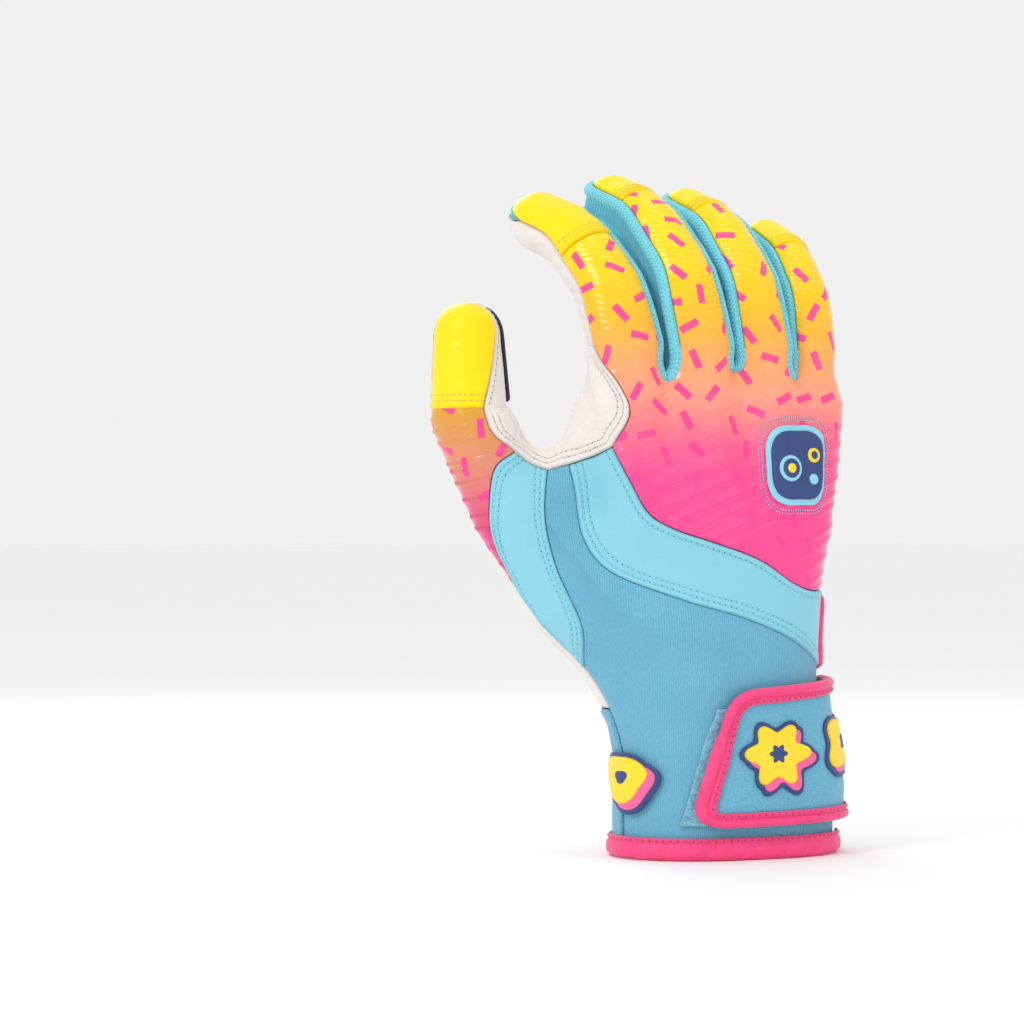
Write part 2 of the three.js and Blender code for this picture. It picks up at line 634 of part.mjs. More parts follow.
const junctions = {
  thumbGusset: place([-0.864, 0.393, 0.794]),
  stripHead: place([-0.75, 0.214, 0.76]),
  bandHeel: place([-0.67, 0.143, 0.768]),
  bandTop: place([-0.551, -0.321, 0.802]),
}
const gussetBack = {
  thumb: seam([thumbEdge(thumbBackTurn, thumbBackTurn, 1)[0], place([-0.955, 0.429, 0.831]), junctions.thumbGusset], 4),
  strip: seam([junctions.thumbGusset, place([-0.81, 0.3, 0.776]), junctions.stripHead], 2),
  stretch: seam([junctions.stripHead, junctions.bandHeel], 2),
  band: seam([junctions.bandHeel, place([-0.614, -0.07, 0.78]), junctions.bandTop], 3),
  index: seam([junctions.bandTop, place([-0.5, -0.5, 0.87]), place([-0.534, -0.43, 0.921]),
    place([-0.574, -0.18, 0.966]), basePoint('index', baseTurn('index', 'left', 0))], 7),
}
const stripTop = seam([radialAt(stripLeave), onBack([-1.023, 0.61]), onBack([-1.034, 0.695]),
  onBack([-0.977, 0.763]), junctions.thumbGusset], 8)
const stripLeft = join(radialSide(stripHeight, stripLeave, 3), stripTop)
const stripRight = seam([around(radialTurn, stripFoot), onBack([-0.648, 0.452]), onBack([-0.75, 0.571]),
  onBack([-0.773, 0.667]), junctions.stripHead], 10)
const ulnarBackTurn = (z) => lerp(ventBackTurn, ulnarTurn, smooth((z - bandFoot) / (ventTop - bandFoot)))
const ulnarBack = (z) => around(ulnarBackTurn(z), z)
const bandLow = seam([junctions.bandHeel, onBack([-0.64, 0.7]), onBack([-0.625, 0.621]), onBack([-0.557, 0.565]),
  onBack([-0.295, 0.503]), onBack([-0.068, 0.469]), onBack([0.125, 0.429]), onBack([0.284, 0.38]), ulnarBack(bandFoot)], 18)
const bandTop = seam([junctions.bandTop, onBack([-0.489, 0.734]), onBack([-0.42, 0.672]), onBack([-0.33, 0.644]),
  onBack([-0.159, 0.616]), onBack([0.034, 0.582]), onBack([0.182, 0.537]), onBack([0.295, 0.521]), ulnarBack(bandHead)], 18)

// Back of the hand
const foldBack = join(...fingerNames.flatMap((name, k) => {
  const edge = fold(name, baseTurn(name, 'left', 0), baseTurn(name, 'right', 0))
  return k < webEdges.length ? [edge, webEdges[k].back] : [edge]
}))
add('back_print_panel', panel({
  bottom: bandTop, top: foldBack, left: gussetBack.index,
  right: arc(ulnarBack, bandHead, foldHeight - foldCut, 7), columns: foldBack.length - 1, rows: 7,
  gap: crotchGap, ...skin,
}), 'pinkGel')
add('chevron_band', panel({
  bottom: bandLow, top: bandTop, left: gussetBack.band, right: arc(ulnarBack, bandFoot, bandHead, 4),
  columns: 18, rows: 3, ...skin,
}), 'lightBlue')
add('thumb_side_strip', panel({
  bottom: radialSide(stripHeight, stripFoot, 2), top: gussetBack.strip, left: stripLeft, right: stripRight,
  columns: 3, rows: 10, ...skin,
}), 'lightBlue')
add('thumb_back', panel({
  bottom: stripTop, top: thumbEdge(thumbOuterTurn, thumbBackTurn, 6), left: radialSide(stripLeave, thumbFold - foldCut, 8),
  right: backwards(gussetBack.thumb), columns: 10, rows: 8, ...skin,
}), 'pinkGel')
const hemBack = arc((t) => unrolled(wrapped(-radialTurn, ventBackTurn, t, hem), hem, -1), 0, 1, 12)
add('stretch_wrist', panel({
  bottom: hemBack, top: gussetBack.stretch, left: join(radialSide(hem, stripFoot, 14), stripRight),
  right: join(arc((z) => around(ventBackTurn, z), hem, bandFoot, 6), backwards(bandLow)),
  columns: 12, rows: 24, ...skin,
}), 'stretch')

// Gusset between thumb and index: back seam, ridge and front seam
const gussetSeam = join(...Object.values(gussetBack))
const gussetSteps = gussetSeam.length - 1
const gussetRidge = seam([thumbEdge(70, 70, 1)[0], place([-0.85, 0.6, 0.836]), place([-0.795, 0.6, 0.808]),
  place([-0.705, 0.5, 0.797]), place([-0.614, 0.25, 0.825]), place([-0.585, 0.07, 0.88]), basePoint('index', -106)], gussetSteps)
const gussetFront = seam([thumbEdge(thumbFrontTurn, thumbFrontTurn, 1)[0], place([-0.81, 1.0, 0.84]),
  place([-0.76, 0.93, 0.797]), place([-0.682, 0.75, 0.763]), place([-0.6, 0.57, 0.78]), place([-0.55, 0.46, 0.836]),
  place([-0.545, 0.4, 0.91]), basePoint('index', -gussetTurn)], gussetSteps)
add('crotch_gusset', ribbon([gussetSeam, gussetRidge, gussetFront], 5, skin), 'palmLeather')

// Palm side
const palmRadial = 180 + radialTurn
const heelSeam = arc((t) => unrolled(wrapped(palmRadial, 180 - ventPalmTurn, t, heel), heel, 1), 0, 1, 20)
const foldPalm = join(...fingerNames.flatMap((name, k) => {
  const from = name === 'index' ? 360 - gussetTurn : 360 + baseTurn(name, 'left', 1)
  const edge = fold(name, from, baseTurn(name, 'right', 1))
  return k < webEdges.length ? [edge, webEdges[k].front] : [edge]
}))
const palmTop = join(thumbEdge(360 + thumbOuterTurn, thumbFrontTurn, 6), gussetFront, foldPalm)
const ulnarPalmTurn = (z) => lerp(ventPalmTurn, ulnarTurn, smooth((z - heel) / (ventTop - heel)) ** 3)
const ulnarPalm = (z) => around(ulnarPalmTurn(z), z)
add('palm_leather', panel({
  bottom: heelSeam, top: palmTop, left: radialSide(heel, thumbFold - foldCut, 10),
  right: arc(ulnarPalm, heel, foldHeight - foldCut, 14), columns: palmTop.length - 1, rows: 8, facing: new THREE.Vector3(0, 1, 0), ...skin,
}), 'palmLeather')

// Second layer on the palm, with its top seam under the fingers and a curved lower edge
const onLayer = (points, steps) => {
  const curve = new THREE.CatmullRomCurve3(points.map(([x, z]) => new THREE.Vector3(x * palmWidth, z * foldHeight, 0)), false, 'centripetal')
  return curve.getSpacedPoints(steps).map(({ x, y }) => [x, y])
}
const overlayColumns = 18
const overlayLowShares = [[-0.5682, 0.7684], [-0.5, 0.7288], [-0.4205, 0.7006], [-0.2159, 0.6836], 
  [-0.0909, 0.6441], [-0.0227, 0.565], [0.0341, 0.4972], [0.1136, 0.4463], [0.1932, 0.4124], [0.2841, 0.3955], [0.3182, 0.4011]]
const overlayTopShares = [[-0.5, 0.8757], [-0.2386, 0.8983], [0.0114, 0.9153], [0.1364, 0.9096], [0.3977, 0.887], [0.6591, 0.8644]]
const overlayLow = onLayer(overlayLowShares, overlayColumns)
const overlayTop = onLayer(overlayTopShares, overlayColumns)
const overlayLevel = { low: 0.9, high: 0.9 + overlayThickness }
const overlayBulgeShare = 0.1023
const overlayBulge = palmWidth * overlayBulgeShare
add('palm_overlay', layer(mesh2(8, overlayColumns, (u, v) => {
  const k = Math.round(u * overlayColumns)
  const [low, top] = [overlayLow[k], overlayTop[k]]
  return [lerp(low[0], top[0], v) + u ** 4 * overlayBulge * v * (1 - v), lerp(low[1], top[1], v)]
}), 1, overlayLevel.low, overlayLevel.high), 'palmLeather')

// Cuff: palm-side band, the bound hem, the bound vent and the piping at the heel seam
const cuffLevel = { low: cuffThickness * -1 / 3, high: cuffThickness * 2 / 3 }
const cuffEndTurn = 90
const cuffGap = 0.9
const cuffInset = 0.35
add('cuff_band', layer(mesh2(6, 20, (u, v) => {
  const z = lerp(hem, heel - cuffGap, v)
  return [wrapped(palmRadial, cuffEndTurn, u, z) + cuffInset * (1 - u), z]
}), 1, cuffLevel.low, cuffLevel.high), 'stretch')
const hemProfile = [[1.7, 8], [2.9, 8], [2.9, 2.2], [1.3, 0], [-1.9, 0], [-3.2, 2.2], [-3.2, 8], [-1.9, 8],
  [-1.9, 3.4], [-1.1, 2.6], [0.9, 2.6], [1.7, 3.4]]
const hemSides = [...hemProfile.slice(1, 7), ...hemProfile.slice(7), hemProfile[0]]
const hemSteps = 14
const hemRing = [
  ...arc((t) => [-1, wrapped(-radialTurn, ventBackTurn - 1, 1 - t, hem)], 0, 1, hemSteps),
  ...arc((t) => [1, wrapped(palmRadial, cuffEndTurn - 1, t, hem)], 0, 1, hemSteps).slice(1),
]
add('hem_binding', sweptSolid(hemRing.map(([face, across]) =>
  hemSides.map(([level, z]) => unrolled(across, z, face, level)))), 'binding')
const ventLap = 2
const ventSpread = 7
const ventArc = { radius: 3.3, foot: 3 }
const ventCentre = ventTop - ventArc.radius / 2
const ventTurn = (angle) => around(ulnarTurn + ventSpread * Math.sin(rad(angle)),
  ventCentre + ventArc.radius * Math.cos(rad(angle)))
const ventPath = seam([
  ...arc((z) => around(Math.min(ulnarBackTurn(z) - ventLap, ulnarTurn - ventSpread), z),
    bandFoot, ventCentre, 4),
  ...arc(ventTurn, -60, 60, 4),
  ...arc((z) => around(Math.max(ulnarPalmTurn(z), ulnarTurn + ventSpread), z),
    ventCentre, heel + ventArc.foot, 4),
], 32)
add('vent_binding', bar(ventPath, 1.9, layerGap, 1.9), 'binding')
const heelPath = arc((t) => unrolled(wrapped(palmRadial - 4, 180 - ventPalmTurn - 4, t, heel), heel, 1), 0, 1, 20)
add('heel_piping', bar(heelPath, 1.1, cuffLevel.high + layerGap, cuffLevel.high + 1.4), 'palmLeather')

// Wrist strap: it wraps from the palm side over the little finger's side onto the back
const strapTurn = 86
const strapRoot = (z) => spineAt(rightSpineShares, z).x + sideArc * rad(strapTurn)
const strapFreeShares = [[-0.25, 0.0734], [-0.1364, 0.322]]
const strapRootShares = [0.0791, 0.339]
const onFace = ([x, z]) => [x * palmWidth, z * foldHeight]
const strapFree = strapFreeShares.map(onFace)
const strapLevel = { low: 2.6, high: 4.4 }
const strapColumns = 14
const between = (a, b, t) => [lerp(a[0], b[0], t), lerp(a[1], b[1], t)]
const rootCorners = strapRootShares.map((share) => share * foldHeight).map((z) => [strapRoot(z), z])
const strapAt = (u, v) => between(between(...strapFree, v), between(...rootCorners, v), u)
add('strap_panel', layer(mesh2(4, strapColumns, strapAt), -1, strapLevel.low, strapLevel.high), 'stretch')
const strapOutline = [rootCorners[0], strapFree[0], strapFree[1], rootCorners[1]]
const strapPath = strapOutline.slice(1).flatMap((b, k) => {
  const a = strapOutline[k]
  const steps = k === 1 ? 5 : strapColumns
  return Array.from({ length: steps }, (_, i) => between(a, b, i / steps)).concat(k === 2 ? [b] : [])
})
const bindLevels = { low: 1.6, lowTop: 2.2, highFoot: 4.75, high: 5.4 }
const bindIn = 3.6
const bindOut = 1.9
const bindWall = 0.7
const bindSides = [[-bindIn, bindLevels.high], [bindOut, bindLevels.high], [bindOut, bindLevels.low],
  [-bindIn, bindLevels.low], [-bindIn, bindLevels.lowTop], [bindOut - bindWall, bindLevels.lowTop],
  [bindOut - bindWall, bindLevels.highFoot], [-bindIn, bindLevels.highFoot]]
const outwardOf = (a, b) => {
  const length = Math.hypot(b[0] - a[0], b[1] - a[1])
  return [(a[1] - b[1]) / length, (b[0] - a[0]) / length]
}
add('strap_binding', sweptSolid(strapPath.map((p, i) => {
  const n = outwardOf(strapPath[Math.max(i - 1, 0)], p === strapPath[0] ? strapPath[1] : p)
  const m = outwardOf(p === strapPath.at(-1) ? strapPath.at(-2) : p, strapPath[i + 1] ?? p)
  const [first, second] = i === 0 ? [n, n] : i === strapPath.length - 1 ? [n, n] : [n, m]
  const share = 1 + first[0] * second[0] + first[1] * second[1]
  const mitre = [(first[0] + second[0]) / share, (first[1] + second[1]) / share]
  return bindSides.map(([out, level]) => unrolled(p[0] + mitre[0] * out, p[1] + mitre[1] * out, -1, level))
})), 'binding')
const patch = (shares) => {
  const [a, b, c, d] = shares.map(onFace)
  return (u, v) => between(between(a, b, v), between(c, d, v), u)
}
const loopShares = [[-0.2955, 0.0678], [-0.1932, 0.2938], [0.1818, 0.0678], [0.1818, 0.2938]]
const hookShares = [[-0.1705, 0.1073], [-0.1023, 0.2881], [0.2045, 0.1073], [0.2045, 0.2881]]
add('loop_patch', layer(mesh2(3, 8, patch(loopShares)), -1, 0.5, 1.2), 'hookLoop')
add('hook_patch', layer(mesh2(3, 8, patch(hookShares)), -1, 1.6, 2.2), 'hookLoop')

// Raised motifs: one outline each, given as a radius that swells and shrinks round a centre
const motifGrid = 6
const motifGap = 0.5
function motif({ centreShare, radiusShare, face, lobes, depth, turn = 0, squash = 1, low, high }) {
  const centre = onFace(centreShare)
  const radius = radiusShare * palmWidth
  const grid = mesh2(motifGrid, motifGrid, (u, v) => {
    const x = 2 * u - 1
    const y = 2 * v - 1
    const m = Math.max(Math.abs(x), Math.abs(y))
    const quarter = x === m ? y / m : y === m ? 2 - x / m : x === -m ? 4 - y / m : 6 + x / m
    const angle = m === 0 ? 0 : quarter * Math.PI / 4
    const r = m * radius * (1 + depth * Math.cos(lobes * (angle - rad(turn))))
    return [centre[0] + r * Math.cos(angle) * squash, centre[1] + r * Math.sin(angle)]
  })
  return layer(grid, face, low, high)
}
const onCuff = { face: 1, low: cuffLevel.high + motifGap, high: 3.4 }
const onStrap = { face: -1, low: strapLevel.high + motifGap, high: 6.6 }
const motifs = {
  cuff_motif_star: { ...onCuff, centreShare: [0.108, 0.1525], radiusShare: 0.1193, lobes: 6, depth: 0.2 },
  cuff_motif_clover: { ...onCuff, centreShare: [-0.1932, 0.1582], radiusShare: 0.1193, lobes: 4, depth: 0.18, turn: 45 },
  cuff_motif_shield: { ...onCuff, centreShare: [-0.5455, 0.1582], radiusShare: 0.1136, lobes: 3, depth: 0.12, turn: 30 },
  cuff_motif_burst: { ...onCuff, centreShare: [0.3636, 0.1695], radiusShare: 0.1023, lobes: 8, depth: 0.12 },
  strap_motif_star: { ...onStrap, centreShare: [0.0341, 0.2034], radiusShare: 0.1364, lobes: 6, depth: 0.2 },
  strap_motif_clover: { ...onStrap, centreShare: [0.3523, 0.2147], radiusShare: 0.125, lobes: 4, depth: 0.18, turn: 45 },
}
for (const [name, shape] of Object.entries(motifs)) add(name, motif(shape), 'yellowRubber')
add('back_badge', motif({ centreShare: [0.2386, 0.7684], radiusShare: 0.1705, face: -1, lobes: 4, depth: 0.06, turn: 45, squash: 0.95,
  low: layerGap + 0.1, high: 1.6 }), 'navyRubber')

export default glove
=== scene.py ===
"""Dresses the sewn batting glove: leathers, printed gel, knit mesh, stretch knit, bindings and moulded rubber.

Lengths are in millimetres until a mesh is written, which is in metres in the model's own frame.
"""

import json
from functools import cache

import bpy
import numpy as np
from bpy.props import FloatProperty, FloatVectorProperty, IntProperty, PointerProperty
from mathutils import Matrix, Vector


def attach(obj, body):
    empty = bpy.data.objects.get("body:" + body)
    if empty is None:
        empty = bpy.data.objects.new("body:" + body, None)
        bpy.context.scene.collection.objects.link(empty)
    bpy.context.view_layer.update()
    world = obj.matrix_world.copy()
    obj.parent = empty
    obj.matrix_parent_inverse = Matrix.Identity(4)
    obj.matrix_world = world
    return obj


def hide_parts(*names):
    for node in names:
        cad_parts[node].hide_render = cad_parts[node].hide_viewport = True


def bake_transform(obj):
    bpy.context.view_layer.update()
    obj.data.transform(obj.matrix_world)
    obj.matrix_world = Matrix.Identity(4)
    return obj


bl_info = {
    "name": "Batting glove",
    "version": (1, 0, 0),
    "blender": (4, 5, 0),
    "location": "View3D > Sidebar > Glove",
    "description": "Makes the sewn pieces of a right-hand batting glove round its model",
    "category": "Object",
}

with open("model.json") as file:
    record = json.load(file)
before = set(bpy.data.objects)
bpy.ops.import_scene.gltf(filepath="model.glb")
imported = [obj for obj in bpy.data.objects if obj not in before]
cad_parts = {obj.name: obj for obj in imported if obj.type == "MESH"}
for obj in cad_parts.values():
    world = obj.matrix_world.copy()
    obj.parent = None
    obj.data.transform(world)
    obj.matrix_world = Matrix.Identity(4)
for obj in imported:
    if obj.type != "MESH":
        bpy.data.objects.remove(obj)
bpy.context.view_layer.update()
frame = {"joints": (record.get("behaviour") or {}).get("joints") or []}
METRE = 1000.0
FOLDS = {joint["name"]: float(joint["pos_m"][2]) * METRE for joint in frame["joints"]}

# Sizes of the hand form
PALM_WIDTH = 88.0
PALM_DEPTH = 28.0
FOLD_HEIGHT = FOLDS["index_flex"]
THUMB_FOLD = FOLDS["thumb_flex"]
PAD_TURN = 152.0
SKIN = 1.4
MESH_SKIN = 1.2
SEAM_GAP = 0.14
TUCK = 0.5
STATIONS = 9
LINE_STEPS = STATIONS * 20
FINGERS = {
    "index": dict(base=(-0.449, 0.018), bones=(20, 23, 17), bends=(8, 38, 68), lean=-16.5, girth=(12.6, 10.4),
                  left=(-7, -7), right=(-40, 38), drop=11, cap=0.6),
    "middle": dict(base=(-0.148, -0.054), bones=(24, 26, 19), bends=(8, 38, 68), lean=-13.5, girth=(12.8, 10.6),
                   left=(-40, 38), right=(-40, 38), drop=7, cap=0.8),
    "ring": dict(base=(0.14, -0.018), bones=(22, 25, 19), bends=(8, 38, 68), lean=-9, girth=(11.5, 10.0),
                 left=(-40, 38), right=(-40, 38), drop=11, cap=0.8),
    "pinky": dict(base=(0.393, 0.089), bones=(18, 19, 16), bends=(8, 38, 66), lean=-1, girth=(10.0, 8.8),
                  left=(-40, 38), right=(-5, -5), drop=11, cap=0.7),
}
NAMES = list(FINGERS)
THUMB = dict(left=(-5, -5), right=(-24, 23), base_right=(-65, 23), girth=(13.3, 11.4))
BEND_LENGTH = 14.0
LEAN_POWER = 1.2
FINE = 4

# Bones of the form: x as a share of the palm's width, y of its depth, z of the fold's height, radius of its depth
WRIST_X = (-0.159, 0, 0.159)
WRIST_RINGS = ((1, 0, -0.113, 0.964), (1, -0.006, 0.124, 0.946), (0.8, -0.045, 0.418, 0.786))
WRIST_SIDE = 0.97
HAND_BONES = {"index": (-0.136, 0.714, 0.486), "middle": (-0.057, 0.75, 0.486),
              "ring": (0.023, 0.714, 0.486), "pinky": (0.091, 0.661, 0.443)}
HAND_HEIGHTS = (0.35, 0.655, 0.881)
HAND_MIDDLE = (0.66, 0.589)
THUMB_BONES = ((-0.227, 0.286, 0.35, 0.679), (-0.568, 0.571, 0.52, 0.679), (-0.807, 0.786, 0.684, 0.557),
               (-0.977, 0.964, 0.859, 0.475), (-0.972, 1.071, 1.023, 0.407))
WEB_BONES = ((-0.773, 0.643, 0.667, 0.321), (-0.614, 0.357, 0.78, 0.232), (-0.489, 0.107, 0.859, 0.321))
BLENDS = dict(wrist=10.0, palm=14.0, thumb=20.0, web=12.0, finger=6.0)
ROOT = dict(drop=42.0, setback=1.5, girth=0.72)
LEFT_SPINE = ((-0.159, 0, 0), (-0.159, 0, 0.169), (-0.227, 0.286, 0.35), (-0.568, 0.571, 0.52),
              (-0.807, 0.786, 0.684), (-0.977, 0.964, 0.859), (-0.972, 1.071, 1.023))
RIGHT_SPINE = ((0.159, 0, 0), (0.153, 0, 0.124), (0.08, 0, 0.418), (0.284, 0, 0.655), (0.393, 0.054, 0.881),
               (0.393, 0.089, 1))
SIDE_ARC = 20.0


def length(name, text, value, **limits):
    """A length setting, in metres."""
    return FloatProperty(name=name, description=text, default=value, unit="LENGTH", **limits)


class GloveSizes(bpy.types.PropertyGroup):
    """Sizes a maker would change"""
    grid: length("Grid", "Spacing of the surface points", 0.0006, min=0.0003)
    edge: length("Turned edge", "Radius of a turned leather edge", 0.0011)
    stitch: length("Stitch", "Distance from one stitch to the next", 0.0021)
    thread: length("Thread", "Radius of the sewing thread", 0.00026)
    lip: length("Lip", "Width of the rolled lips beside the mesh", 0.0042)
    ridge: length("Ridge", "Height of the moulded ridges in the print", 0.0003)
    fleck_gap: length("Fleck spacing", "Least distance between printed flecks", 0.0098)
    strap_corner: length("Strap corner", "Radius of the strap's free corners", 0.008)
    seed: IntProperty(name="Seed", description="Start of every random draw", default=7)


def colour(name, text, value):
    """A colour setting, given as the hex digits of its sRGB value."""
    parts = [int(value[i:i + 2], 16) / 255 for i in (0, 2, 4)]
    linear = [p / 12.92 if p < 0.04045 else ((p + 0.055) / 1.055) ** 2.4 for p in parts]
    return FloatVectorProperty(name=name, description=text, default=linear, size=3, min=0, max=1,
                               subtype="COLOR")


class GloveColours(bpy.types.PropertyGroup):
    """Colours of the glove's materials"""
    white: colour("White leather", "Palm, fingers and gusset", "ebe4df")
    # Painted shade: this tint darkens the white leather's grain grooves and seams; it also tints the leather's own
    # mottling.
    crease: colour("Leather crease", "Deep folds of the white leather", "cfc4bd")
    cap: colour("Yellow leather", "Caps of the fingers and thumb", "ffe300")
    yellow: colour("Yellow print", "Print below the caps", "ffda00")
    gold: colour("Gold print", "Print on the fingers", "ffc814")
    amber: colour("Amber print", "Print at the fingers' roots", "ffb736")
    peach: colour("Peach print", "Print over the knuckles", "ffa962")
    coral: colour("Coral print", "Print below the knuckles", "ff9e80")
    rose: colour("Rose print", "Print in the middle of the hand", "ff608e")
    candy: colour("Candy print", "Print low on the hand", "ff4690")
    pink: colour("Pink print", "Print at the bottom of the hand", "ff4792")
    fleck: colour("Fleck", "Small printed rectangles", "f83f92")
    cyan: colour("Cyan mesh", "Lips of the mesh between the fingers", "86e4f4")
    # Its share in the mesh's holes is painted shade; on the sunk floor it is the mesh's own tone.
    cyan_deep: colour("Mesh floor", "Sunk mesh and its holes", "3cb9d3")
    sky: colour("Light-blue leather", "Band and strip", "89cfdf")
    knit: colour("Stretch knit", "Wrist and cuff", "72b7d3")
    # Painted shade in the furrows between the knit's ribs, and the darker tone of its mottled yarn.
    knit_shade_and_mottle: colour("Knit furrow", "Between the ribs of the knit", "4593b6")
    binding: colour("Binding", "Bound edges of cuff and strap", "ff4487")
    suede: colour("Suede", "Grip pad of the thumb", "17161a")
    navy: colour("Navy rubber", "Base of the moulded shapes", "1c3c7c")
    shadow: colour("Pink rubber", "Lower layer of the moulded shapes", "f9619c")
    lemon: colour("Yellow rubber", "Top layer of the moulded shapes", "ffdc0c")
    halo: colour("Pale rubber", "Rim and lines of the badge", "8fd6ea")
    loop: colour("Loop pile", "Fastener under the strap", "8bcfe4")
    grey_thread: colour("Grey thread", "Stitches in white leather", "ded9d4")
    # Painted shade: each hole colour below is the dark of needle holes; the binding's also darkens the tape between
    # its threads and in its cloud.
    grey_hole: colour("White leather's holes", "Needle holes of those stitches", "857d79")
    blue_thread: colour("Blue thread", "Stitches in blue leather", "8fdcef")
    blue_hole: colour("Blue leather's holes", "Needle holes of those stitches", "2f86a8")
    gold_thread: colour("Gold thread", "Stitches in yellow leather", "ffe23a")
    gold_hole: colour("Yellow leather's holes", "Needle holes of those stitches", "c39a00")
    pink_thread: colour("Pink thread", "Stitches in the binding", "ee4a87")
    pink_hole: colour("Binding's holes", "Needle holes of those stitches", "b41c56")


def settings():
    """The sizes that the panel shows."""
    return bpy.context.scene.glove_sizes


def mm(name):
    """A length setting in millimetres."""
    return getattr(settings(), name) * METRE


def lerp(a, b, t):
    """A value between two, by a share."""
    return a + (b - a) * t


def smooth(t):
    """Eased step: 3 t squared less 2 t cubed, held between 0 and 1."""
    t = np.clip(t, 0, 1)
    return t * t * (3 - 2 * t)


def place(shares):
    """Shares of the palm's width, its depth and the fold's height as a point."""
    return np.asarray(shares, float)[..., :3] * (PALM_WIDTH, PALM_DEPTH, FOLD_HEIGHT)


def unit(v):
    """Directions of length 1."""
    return v / np.maximum(np.linalg.norm(v, axis=-1, keepdims=True), 1e-9)


def norm(v):
    """Lengths of vectors."""
    return np.linalg.norm(v, axis=-1)


def run_along(points):
    """Millimetres run from the first point to each."""
    return np.concatenate([[0], np.cumsum(norm(np.diff(points, axis=0)))])


def read_at(x, run, points):
    """Points read at places along their run, straight between them."""
    return np.stack([np.interp(x, run, c) for c in points.T], -1)


class Line:
    """A digit's centre line with a frame at each length: tangent, side and front."""

    def __init__(self, name):
        """The thumb is straight; a finger's angle eases at each knuckle and is summed to points."""
        self.straight = name == "thumb"
        if self.straight:
            low, tip = place(THUMB_BONES[3:])
            base = lerp(low, tip, (THUMB_FOLD - low[2]) / (tip[2] - low[2]))
            self.length = self.rest = float(norm(tip - base))
            self.girths = THUMB["girth"]
            self.points = np.stack([base, tip])
            turn = np.radians(PAD_TURN)
            self.across = np.array([-np.cos(turn), -np.sin(turn), 0])
            return
        finger = FINGERS[name]
        self.length = float(sum(finger["bones"]))
        self.girths = finger["girth"]
        self.rest = finger["bones"][0]
        self.across = np.array([1.0, 0, 0])
        step = self.length / LINE_STEPS
        s = np.arange(LINE_STEPS + 1) * step
        knuckles = (finger["bones"][0], finger["bones"][0] + finger["bones"][1])
        bends = finger["bends"]
        middle = s[:-1] + step / 2
        angle = bends[0] + sum((bends[i + 1] - bends[i]) * smooth((middle - knuckles[i]) / BEND_LENGTH + 0.5)
                               for i in range(2))
        angle = np.radians(angle)
        run = np.zeros((LINE_STEPS + 1, 3))
        run[:, 0] = finger["lean"] * (s / self.length) ** LEAN_POWER
        run[1:, 1:] = np.cumsum(np.stack([np.sin(angle), np.cos(angle)], 1) * step, 0)
        self.points = place((*finger["base"], 1)) + run

    def at(self, s):
        """The point at a length, straight between the worked-out points."""
        s = np.asarray(s, float)
        t = np.clip(s / self.length, 0, 1) * (len(self.points) - 1)
        p = read_at(t, np.arange(len(self.points)), self.points)
        p[..., 2] += np.minimum(s, 0)
        return p

    def frame(self, s):
        """Upright at the base, eased to the line's own tangent."""
        s = np.asarray(s, float)
        step = self.length / LINE_STEPS
        if self.straight:
            tangent = np.broadcast_to(unit(self.points[1] - self.points[0]), (*s.shape, 3))
        else:
            tangent = unit(self.at(s + step) - self.at(np.minimum(s, self.length - step)))
        upright = smooth(s / self.rest)[..., None]
        tangent = unit(lerp(np.array([0, 0, 1.0]), tangent, upright))
        side = unit(self.across - tangent * (tangent @ self.across)[..., None])
        return tangent, side, np.cross(tangent, side)

    def girth(self, s):
        """Radius, straight from base to tip."""
        return lerp(*self.girths, np.asarray(s, float) / self.length)


LINES = {name: Line(name) for name in [*NAMES, "thumb"]}


